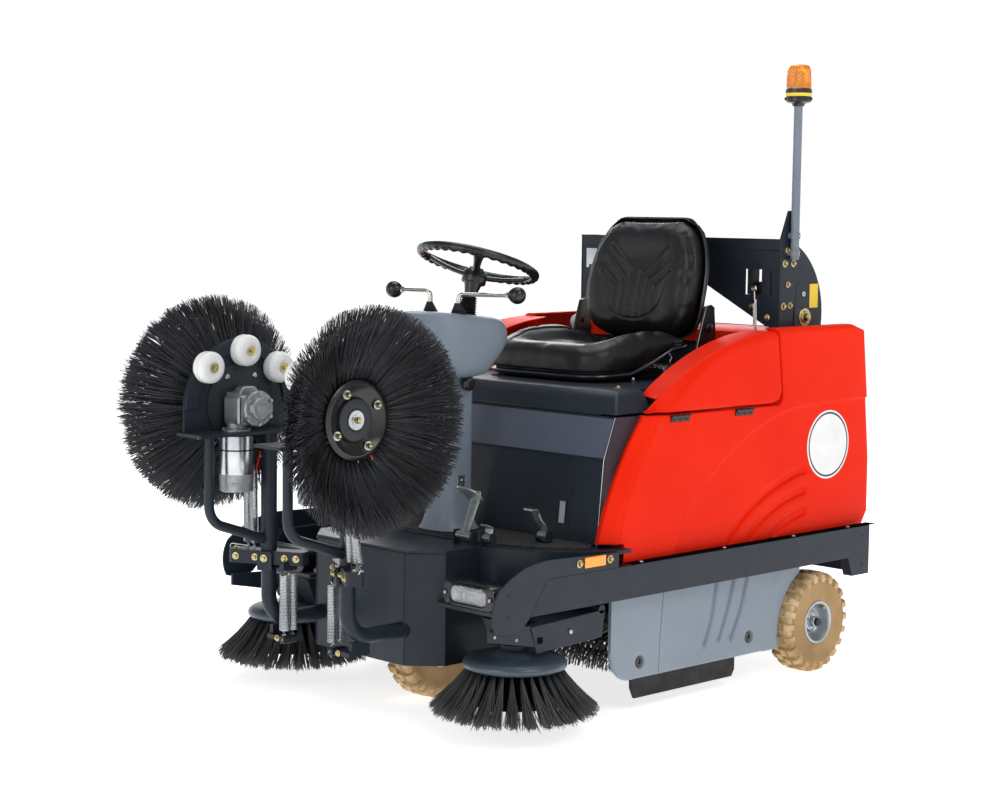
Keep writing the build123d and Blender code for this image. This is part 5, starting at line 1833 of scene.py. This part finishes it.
def tyre(name, body, at, out):
    """A solid tyre: banded sidewalls and two offset rows of block lugs that wrap over the shoulders."""
    shape = Shape()
    half = [(0, 136), (20, 135.6), (33, 132), (39.5, 124), (42.5, 117), (42.2, 110), (40.4, 104), (38.8, 92),
            (38.6, 80), (39.6, 71), (39.4, 64), (36.5, 60), (34, 58.5)]
    profile = [(-a, r) for a, r in reversed(half)] + half[1:]
    centre, along = Vector(at), Vector((out, 0, 0))
    crown = next(i for i, p in enumerate(profile) if p[0] > -41 and p[1] > 108)
    shape.lathe(profile[:crown + 1], centre, along, 132, 1, caps=False)
    shape.lathe(profile[crown:len(profile) - crown], centre, along, 132, 0, caps=False)
    shape.lathe(profile[len(profile) - crown - 1:], centre, along, 132, 1, caps=False)
    for row, sign in enumerate((1, -1)):
        for k in range(LUGS):
            angle = tau * (k + 0.5 * row) / LUGS
            spoke = Vector((0, cos(angle), sin(angle)))
            side = along.cross(spoke)
            rings = []
            for i, (a, radius) in enumerate(LUG_LINE):
                width = 26.5 - 0.25 * a
                before = LUG_LINE[max(i - 1, 0)]
                after = LUG_LINE[min(i + 1, len(LUG_LINE) - 1)]
                tangent = Vector((after[0] - before[0], after[1] - before[1])).normalized()
                face = Vector((-tangent.y, tangent.x))
                top = centre + along * sign * a + spoke * radius
                deep = (along * sign * face.x + spoke * face.y) * (-14 if i < 5 else -9)
                soft = (along * sign * face.x + spoke * face.y) * -1.3
                w = width / 2
                ring = [top - side * (w - 1.3), top + side * (w - 1.3), top + side * w + soft,
                        top + side * (w + 1.4) + deep, top - side * (w + 1.4) + deep, top - side * w + soft]
                rings.append(ring if sign * out > 0 else ring[::-1])
            shape.skin(rings, 0)
            for mark in (-6.5, 0, 6.5):
                spot = centre + along * sign * 18 + spoke * (TYRE_R - 0.25) + side * mark
                shape.skin([[spot + along * sign * a + side * b + spoke * c for a, b, c in ring]
                            for ring in ([(-9, -1.5, -1), (-9, 1.5, -1), (-9, 1.5, 0), (-9, -1.5, 0)],
                                         [(9, -1.5, -1), (9, 1.5, -1), (9, 1.5, 0), (9, -1.5, 0)])], 2)
    shape.piece(f"{name}_lugged", body, [TAN, SIDEWALL, TREAD_DARK_MARKS], smooth=34, stands_for=(name,))


def wheel_rim(name, body, at, out):
    """A pressed dish with a rolled flange, a domed hub, and a large hexagon nut over a washer."""
    shape = Shape()
    profile = [(-38, 50), (-38, 58.5), (-35, 61), (-30, 58.5), (30, 58.5), (35, 59), (38.5, 62.5),
               (41.5, 61.5),
               (42.2, 58), (40.5, 54.5), (36, 52.4), (24, 50.5), (10, 47.5), (5, 43), (3.6, 37), (6, 31),
               (13, 27.5),
               (17, 26), (18, 23), (18, 15)]
    shape.lathe(profile, at, (out, 0, 0), 64, 0)
    shape.lathe([(16, 21), (19.5, 21), (20.5, 20), (20.5, 0)], at, (out, 0, 0), 40, 1)
    shape.lathe([(19, 16.6), (32, 16.6), (34.5, 13.6), (34.5, 0)], at, (out, 0, 0), 6, 1)
    shape.lathe([(33, 8.6), (38, 8.6), (40, 6.6), (40, 0)], at, (out, 0, 0), 24, 1)
    shape.lathe([(-36, 0), (-36, 30), (-10, 30), (-10, 50)], at, (out, 0, 0), 40, 0)
    shape.lathe([(20, 3.2), (39.5, 3.2), (40.2, 2.4), (40.2, 0)],
                Vector(at) + Vector((0, 30, 38)), (out, 0, 0), 10, 2)
    shape.piece(f"{name}_pressed", body, [SILVER, ZINC, BRASS], smooth=32, slot="silver_rim",
                stands_for=(name,))


for wheel_side, wheel_sign in SIDES:
    hub_point = (wheel_sign * 492, 762, 146)
    tyre(f"rear_tyre_{wheel_side}", f"{wheel_side}_rear_wheel", hub_point, wheel_sign)
    wheel_rim(f"rear_rim_{wheel_side}", f"{wheel_side}_rear_wheel", hub_point, wheel_sign)
tyre("front_tyre", "front_wheel", (0, -263, 146), 1)
wheel_rim("front_rim", "front_wheel", (0, -263, 146), 1)


# ---------------------------------------------------------------- lamps, reflectors, bolts

def oval(width, height, count=40):
    """An oval with straight long sides."""
    return rounded([(-width / 2, -height / 2), (width / 2, -height / 2), (width / 2, height / 2),
                    (-width / 2, height / 2)], height / 2 - 0.5, count // 4)


def headlamps():
    """Oval lamps in black housings: a silver dish, a bulb, and a bulged ribbed lens, on a shelf."""
    house = Shape()
    at, right, up = Vector((372, -440, 356)), Vector(LEFT), Vector(UP)

    def ring(width, height, depth):
        return [at + right * a + up * b + Vector((0, -depth, 0)) for a, b in oval(width, height)]

    house.skin([ring(178, 58, 0), ring(188, 64, 4), ring(190, 66, 12), ring(190, 66, 44), ring(186, 62, 49),
                ring(150, 55, 51.5), ring(138, 48, 52), ring(132, 43, 49), ring(126, 38, 30)], 0)
    for x in (-81, 81):
        house.lathe([(0, 7.5), (3, 7.5), (4, 6), (4, 0)], at + Vector((x, -50, 0)), FRONT, 20)
    house.slab(rounded([(-118, -70), (118, -70), (118, 70), (-118, 70)], 12), (370, -420, 314), LEFT, REAR,
               12, 2, 1)
    house.slab(rounded([(-24, -30), (24, -30), (24, 30), (-24, 30)], 5), (276, -380, 318), LEFT, REAR, 28, 1,
               1)
    both_sides(house, "headlamp_housing_{}", "chassis", [PLASTIC, PAINT_DARK], stands_for=("headlight_{}",))
    screws = Shape()
    for x in (-81, 81):
        screws.dome_screw(at + Vector((x, -54, 0)), FRONT, 5)
    both_sides(screws, "headlamp_screws_{}", "chassis", ZINC)
    dish = Shape()
    dish.skin([ring(131, 42, 42), ring(118, 34, 35), ring(92, 24, 32), ring(60, 14, 31)], 0)
    dish.ball(at + Vector((-18, -35, 0)), 8, 1)
    both_sides(dish, "headlamp_dish_{}", "chassis", [POLISHED, WHITE])
    lens = Shape()
    rings = []
    for share in (1.0, 0.985, 0.95, 0.86, 0.72, 0.52, 0.3, 0.1):
        flat = oval(131 * (0.3 + 0.7 * share), 42.5 * share)
        bulge = 9 * sqrt(max(0.0, 1 - share ** 2.6))
        rings.append([at + right * a + up * b + Vector((0, -(46 + bulge) - 0.9 * cos(a * 0.8), 0)) for a,
                      b in flat])
    lens.skin(rings)
    lens.piece("headlamp_lens_left", "chassis", CLEAR)
    lens.mirrored().piece("headlamp_lens_right", "chassis", CLEAR)


def reflector_strips():
    """Orange strips with a moulded frame, each between two hexagon bolts."""
    strip, bolt = Shape(), Shape()
    for sign in (1, -1):
        plane = (Vector((0, sign, 0)), Vector(UP))
        strip.slab(rounded([(-39, -13.5), (39, -13.5), (39, 13.5), (-39, 13.5)], 3),
                   (sign * 541, -205, 434), *plane, 3.4, 1.2, 0)
        strip.slab(rounded([(-36, -10.5), (36, -10.5), (36, 10.5), (-36, 10.5)], 2),
                   (sign * 544.2, -205, 434), *plane, 0.8, 0.4, 0)
        for y in (-262, -148):
            bolt.hex_bolt((sign * 541, y, 434), (sign, 0, 0), 11)
    strip.piece("reflector_strips", "chassis", ORANGE, stands_for=("reflectors",))
    bolt.piece("guard_bolts", "chassis", BRASS, stands_for=("bolts",))


headlamps()
reflector_strips()


# ---------------------------------------------------------------- towers, mast, beacon

def towers():
    """Details on the tower plates: bolts, holes, folds, the pivot, a blank label and the turnbuckle."""
    brass, dark, label, steel = Shape(), Shape(), Shape(), Shape()
    for y, z, size in ((758, 1216, 11), (746, 1178, 11), (786, 1178, 11), (763, 1117, 9.5), (743, 1054, 11.5),
                       (775, 1056, 10)):
        brass.hex_bolt((392, y, z), LEFT, size)
    for x, z, size in ((289, 1051, 8), (350, 1020, 10.5), (352, 990, 6)):
        brass.hex_bolt((x, 726 if x < 340 else 723, z), FRONT, size)
    # Darker discs for the plate's holes: painted shade inside them.
    for y, z, radius in ((786, 1133, 3.2), (742, 1134, 3.2), (744, 1093, 3.6), (812, 1062, 3.4),
                         (857, 1097, 3),
                         (870, 1050, 3.4), (905, 1046, 3)):
        dark.lathe([(0, radius), (0.5, radius), (0.5, 0)], (392, y, z), LEFT, 16)
    steel.lathe([(0, 8), (2.2, 8), (3, 7), (3, 0)], (392, 838, 1088), LEFT, 24)
    steel.hex_bolt((392, 838, 1088), LEFT, 6, washer=False)
    # A darker patch for the recess: painted shade in it.
    dark.slab(rounded([(0, 0), (44, 0), (44, -52), (0, -52)], 4), (392, 796, 1046), REAR, UP, 3, 0.6)
    brass.lathe([(0, 27), (3.5, 27), (4.5, 26), (4.5, 0)], (392, 844, 1020), LEFT, 40)
    brass.hex_bolt((396, 844, 1020), LEFT, 19)
    label.slab(rounded([(-20, -35), (20, -35), (20, 35), (-20, 35)], 2), (392, 888, 1082), REAR, UP, 0.7,
               0.2)
    right = brass.mirrored()
    for x, z, size in ((289, 1051, 8),):
        right.hex_bolt((-x, 726, z), FRONT, size)
    brass.piece("tower_bolts_left", "chassis", BRASS)
    right.piece("tower_bolts_right", "chassis", BRASS)
    both_sides(dark, "tower_recess_{}", "chassis", PAINT_DARK)
    both_sides(label, "tower_label_{}", "chassis", YELLOW)
    both_sides(steel, "tower_nut_{}", "chassis", ZINC)

    folds = Shape()
    folds.tube([(-383, 725.5, 1215), (383, 725.5, 1215)], 1.6, 8)
    folds.slab([(-384, -8), (384, -8), (384, 0), (-384, 0)], (0, 720, TOWER_HEAD), LEFT, REAR, 2.4, 1)
    for sign in (1, -1):
        folds.tube([(sign * 390, 727.5, 968), (sign * 390, 727.5, 1246)], 3.2, 10)
        folds.tube([(sign * 392.3, 806, 1118), (sign * 392.3, 802, 1086), (sign * 392.3, 799, 1050)], 0.8, 6)
        folds.tube([(sign * 392.3, 806, 1118), (sign * 392.3, 872, 1120)], 0.8, 6)
        folds.slab(rounded([(-12, -36), (14, -36), (14, 36), (-12, 36)], 3), (sign * 345, 724, 1120), LEFT,
                   UP, 2.4, 0.6)
    folds.piece("tower_folds", "chassis", PAINT, smooth=30)
    backing = Shape()
    backing.block((20, 30, 74), (276, 750, 1122), 0, 1)
    backing.block((66, 4, 40), (292, 762, 1102), 0, 0.6)
    backing.piece("tower_backing", "chassis", PAINT_DARK)

    low, high = Vector((309, 722, 978)), Vector((303, 722, 1096))
    way = (high - low).normalized()
    rod = Shape()
    rod.tube([low, high], 3.2, 12)
    span = (high - low).length
    for share in (0.22, 0.74):
        rod.lathe([(-6, 4), (-6, 6.4), (6, 6.4), (6, 4)], low + way * span * share, way, 6)
    for offset in (-5, 5):
        side = way.cross(Vector(REAR)).normalized()
        rod.tube([low + way * span * 0.24 + side * offset, low + way * span * 0.72 + side * offset], 2.1, 10)
    for end, point in ((-1, low), (1, high)):
        eye = [point + way * end * 6 + (way * cos(a) + way.cross(Vector(REAR)) * sin(a)) * 7.5
               for a in [tau * k / 20 for k in range(20)]]
        rod.tube(eye, 2.6, 8, loop=True)
    rod.piece("tower_turnbuckle", "chassis", CHROME)
    pins = Shape()
    for point in (low - way * 6, high + way * 6):
        pins.hex_bolt(point + Vector((0, -2, 0)), FRONT, 7)
    pins.piece("turnbuckle_pins", "chassis", BRASS)
    sticker = Shape()
    sticker.slab(rounded([(-22, -30), (22, -30), (22, 30), (-22, 30)], 2), (-348, 725.4, 1176), LEFT, UP,
                 0.8, 0.2)
    sticker.piece("tower_plate_blank", "chassis", ZINC)


TOWER_HEAD = 1246.0
MAST_XY = (406.0, 773.0)


def mast():
    """The beacon's tube in two clamps, a ribbed base with wing clips, and a yellow band."""
    shape = Shape()
    x, y = MAST_XY
    shape.tube([(x, y, 1189), (x, y, 1640)], 12.5, 28, 0)
    for z in (1208, 1258):
        shape.lathe([(-9, 12.5), (-9, 15.4), (9, 15.4), (9, 12.5)], (x, y, z), UP, 28, 0)
        shape.block((18, 26, 15), (x - 13, y, z), 0, 1.2)
        shape.hex_bolt((x + 14, y - 4, z), (1, -0.3, 0), 5.5, 2, washer=False)
    shape.tube(smooth_path([(x + 4, y + 8, 1196), (x + 6, y + 20, 1204), (x + 5, y + 15, 1216)], 6), 3, 8, 1)
    shape.lathe([(-10, 12.5), (-10, 16), (-2, 20), (0, 31), (3, 35.4), (4, 36.5), (10, 36.5), (11, 34.8),
                 (14, 34.8),
                 (15, 36.5), (21, 36.5), (22, 34.8), (25, 34.8), (26, 37.6), (38, 37.6), (40, 36), (40, 0)],
                (x, y, 1639), UP, 56, 1)
    for k in range(36):
        angle = tau * k / 36
        at = Vector((x + 37.2 * cos(angle), y + 37.2 * sin(angle), 1671))
        shape.block((1.4, 2.2, 11), at, 1, 0.4, Matrix.Rotation(angle, 3, "Z"))
    for angle in (radians(-150), radians(30)):
        turn = Matrix.Rotation(angle, 3, "Z")
        shape.block((5, 14, 9), Vector((x, y, 1650)) + turn @ Vector((37, 0, 0)), 1, 1, turn)
    shape.piece("beacon_mast", "chassis", [MAST_GREY, PLASTIC, BRASS], stands_for=("mast",))
    band = Shape()
    rings = []
    for z, r in ((1657, 36.6), (1657, 38.1), (1666, 38.1), (1666, 36.6)):
        rings.append([(x + r * cos(a), y + r * sin(a), z) for a in
                      [radians(-170) + radians(200) * k / 40 for k in range(41)]])
    faces_band = [rings[0], rings[1], rings[2], rings[3]]
    points = [p for ring in faces_band for p in ring]
    faces = [(i * 41 + k, i * 41 + k + 1, ((i + 1) % 4) * 41 + k + 1, ((i + 1) % 4) * 41 + k)
             for i in range(4) for k in range(40)]
    faces += [(0, 41, 82, 123), (163, 122, 81, 40)]
    band.add(points, faces)
    band.piece("beacon_band", "chassis", YELLOW)


def beacon():
    """An amber dome: a ribbed skirt, a plain shoulder, and an inner core."""
    x, y = MAST_XY
    shape = Shape()
    rings = []
    for z, radius, wave in ((0, 35.4, 0.0), (2, 35.9, 0.0), (4, 35.4, 0.55), (30, 34.3, 0.55),
                            (52, 33.2, 0.55),
                            (55, 33.1, 0.0), (58, 32.6, 0.0), (62, 30.6, 0.0), (65.6, 27.2, 0.0),
                            (67.6, 20, 0.0),
                            (68, 8, 0.0)):
        rings.append([(x + (radius + wave * cos(40 * a)) * cos(a), y + (radius + wave * cos(40 * a)) * sin(a),
                       1679 + z) for a in [tau * k / 160 for k in range(160)]])
    shape.skin(rings)
    shape.piece("beacon_lens", "chassis", AMBER, stands_for=("beacon_dome",))
    core = Shape()
    core.lathe([(1, 22), (4, 22), (6, 14), (40, 14), (48, 11), (52, 0)], (x, y, 1679), UP, 28)
    core.piece("beacon_core", "chassis", POLISHED)


# ---------------------------------------------------------------- front cover, hood, rails

def front_cover():
    """The folds (the upper face in a lighter, painted-highlight paint), the seam, a thin zinc rod that paints
    the highlight along the front cover's edge, and the plum strip of painted shade beside it.
    """
    fold = Shape()
    fold.tube([(-451, -82.2, 675), (451, -82.2, 675)], 1.5, 8)
    fold.tube([(345, -103.4, 452), (345, -82, 674)], 1.0, 8)
    # The upper face takes the lighter copy of the paint: painted highlight.
    fold.slab([(-450, 0), (450, 0), (450, 108), (-450, 108)], (0, -80.5, 679), LEFT, Vector((0, 43, 110)),
              1.6, 0.6, 1)
    fold.piece("cover_folds", "chassis", [PAINT, PAINT_LIT_TOP], smooth=30)
    gap = Shape()
    gap.slab([(-398, -4), (398, -4), (398, 4), (-398, 4)], (0, -33, 786), LEFT, REAR, 4, 0.4)
    gap.piece("hood_seam", "chassis", RUBBER)
    # A thin zinc rod along the cover's edge: painted highlight where the fold catches the light.
    edge = Shape()
    edge.tube([(453, -103.5, 452), (453, -82, 675), (453, -40, 784)], 0.9, 8)
    both_sides(edge, "cover_bright_edge_{}", "chassis", ZINC)
    # The red side's inner wall beside the cover, in the plum of painted shade.
    strip = Shape()
    rings = []
    for y, z in arc_through((-143, 462), (-80, 629), (22, 784), 18):
        cover = -103 + 22 * (z - 450) / 225 if z < 675 else -81 + 43 * (z - 675) / 110
        edge_y = max(y + 21, cover + 2)
        rings.append([(454, cover + 1, z), (472, edge_y, z), (472, edge_y + 8, z), (454, cover + 10, z)])
    strip.skin(rings)
    both_sides(strip, "inner_cover_{}", "chassis", RED_WALL_SHADE)
    sticker = Shape()
    sticker.slab(rounded([(-10, -29), (10, -29), (10, 29), (-10, 29)], 1.5), (322, -98.4, 526), LEFT,
                 Vector((0, 22, 225)), 0.8, 0.2)
    sticker.piece("cover_label_blank", "chassis", SILVER)
    bolt = Shape()
    bolt.hex_bolt((345, 89, 848), UP, 8)
    bolt.lathe([(0, 12), (1.4, 12), (1.4, 0)], (345, 89, 848), UP, 24)
    bolt.piece("hood_bolt", "chassis", BRASS)


def hood_cover():
    """The hood: a flat top, a slanted front lip, and slanted ends that run under the fender flaps."""
    shape = Shape()
    rings = []
    for z, half, front in ((790, 453, -38), (792, 455, -38.5), (800, 450, -33), (824, 434, -15),
                           (838, 425, -4),
                           (844, 419, 2), (847, 413, 7), (848, 405, 14)):
        rings.append([(-398, 594, z), (-398, 105, z), (-half, 103, z), (-half, front + 5, z),
                      (-half + 5, front, z),
                      (half - 5, front, z), (half, front + 5, z), (half, 103, z), (398, 105, z),
                      (398, 594, z)])
    shape.skin([ring[::-1] for ring in rings])
    shape.piece("hood_cover", "chassis", PAINT, stands_for=("hood",), smooth=32)


def flap_hinge_pairs():
    """Black hinges between the fender flap and the side panel: two leaves, a barrel and screws."""
    shape = Shape()
    for sign in (1, -1):
        for y in (158, 430):
            shape.tube([(sign * 510, y - 38, 781), (sign * 510, y + 38, 781)], 4.6, 14)
            for cut in (-13, 13):
                shape.lathe([(-0.8, 5.1), (0.8, 5.1)], (sign * 510, y + cut, 781), REAR, 14)
            shape.block((3.4, 76, 13), (sign * 507.6, y, 772.5), 0, 0.8)
            for dy in (-26, 0, 26):
                shape.dome_screw((sign * 509.3, y + dy, 771.5), (sign, 0, 0), 3)
    shape.piece("flap_hinge_pairs", "chassis", PLASTIC, stands_for=("flap_hinges",))


def hopper_lid():
    """The red cover over the hopper's top."""
    shape = Shape()
    shape.slab([(1036, 936), (1030, 944), (962, 978), (716, 980), (706, 974), (702, 940), (712, 940),
                (720, 972),
                (960, 971), (1026, 936)][::-1], (-368, 0, 0), REAR, UP, 736, 1)
    shape.piece("hopper_lid", "hopper_bucket", RED, smooth=34)


def rail_gap_shades():
    """A painted shade strip in the gap between the red side and the rail."""
    shape = Shape()
    for sign in (1, -1):
        shape.block((33, 1078, 1.2), (sign * 524, 482, 409), 0, 0.3)
    shape.piece("rail_gap_shades", "chassis", SHADE_SHEET)


def filler_neck():
    """A grey filler pipe behind the seat with a black end, standing at an angle."""
    shape = Shape()
    foot, lean = Vector((-350, 690, 940)), Vector((0.15, -0.55, 0.82)).normalized()
    shape.lathe([(-60, 24), (-4, 24), (0, 27), (6, 27), (8, 24), (34, 24), (36, 26.5), (44, 26.5), (46, 24)],
                foot, lean, 36, 0)
    shape.lathe([(44, 24.5), (52, 24.5), (54, 22), (54, 0)], foot, lean, 36, 1)
    shape.piece("filler_neck", "chassis", [GREY, PLASTIC])


def rail_details():
    """Bolt heads along the rail, screws on the side arms, the holes of the guards and the housing's edges."""
    bolts, dark = Shape(), Shape()
    for y in (-12, 330, 640, 900):
        bolts.dome_screw((528, y, 409.5), UP, 6)
    # Dark discs on the guards where their holes are: painted shade inside the holes.
    for y, z in ((960, 380), (960, 292)):
        dark.lathe([(0, 5), (0.6, 5), (0.6, 0)], (541, y, z), LEFT, 18)
    for y, z in ((-512, 330), (-512, 384)):
        dark.lathe([(0, 4.6), (0.6, 4.6), (0.6, 0)], (541, y, z), LEFT, 18)
    both_sides(bolts, "rail_screws_{}", "chassis", ZINC)
    both_sides(dark, "plate_holes_{}", "chassis", RUBBER)
    arm = Shape()
    for x in (398, 470):
        arm.dome_screw((x, -417, 278), FRONT, 6)
    both_sides(arm, "side_arm_screws_{}", "{}_side_arm", ZINC)
    edge = Shape()
    edge.tube([(-252, -452, 442), (-176, -529, 442), (176, -529, 442), (252, -452, 442)], 1.8, 8)
    edge.tube([(-250.3, -453, 152), (-250.3, -453, 439)], 1.6, 8)
    edge.tube([(250.3, -453, 152), (250.3, -453, 439)], 1.6, 8)
    edge.tube([(-175, -528.3, 152), (-175, -528.3, 439)], 1.6, 8)
    edge.tube([(175, -528.3, 152), (175, -528.3, 439)], 1.6, 8)
    edge.piece("housing_edges", "chassis", PAINT)


def mat_border():
    """Thin bars that hold the mat at the front of the deck."""
    shape = Shape()
    for y in (-298, -312):
        shape.tube([(-246, y, 452), (246, y, 452)], 2.2, 8)
    shape.piece("mat_bars", "chassis", PAINT_DARK)


towers()
mast()
beacon()
front_cover()
hood_cover()
hopper_lid()
flap_hinge_pairs()
rail_gap_shades()
filler_neck()
rail_details()
mat_border()

for node_name, finish, edge_width in (
        ("frame", PAINT, 1.6), ("front_box", PAINT, 2.2), ("deck_plate", PAINT, 1.4), ("floor_mat", MAT, 1.2),
        ("guard_left", PAINT, 1.4), ("guard_right", PAINT, 1.4), ("seat_base", PAINT, 2.0),
        ("drive_unit", PAINT_DARK, 3.0), ("steer_fork", PAINT_DARK, 1.5),
        ("tower_frame", PAINT, 1.2), ("hopper", PAINT, 2.0),
        ("swing_arm_left", PAINT, 1.2), ("swing_arm_right", PAINT, 1.2),
        ("head_frame_left", PAINT, 1.4), ("head_frame_right", PAINT, 1.4), ("seat_pan", PLASTIC, 1.4),
        ("seat_lever", PLASTIC, 1.0)):
    keep(node_name, finish, edge_width)
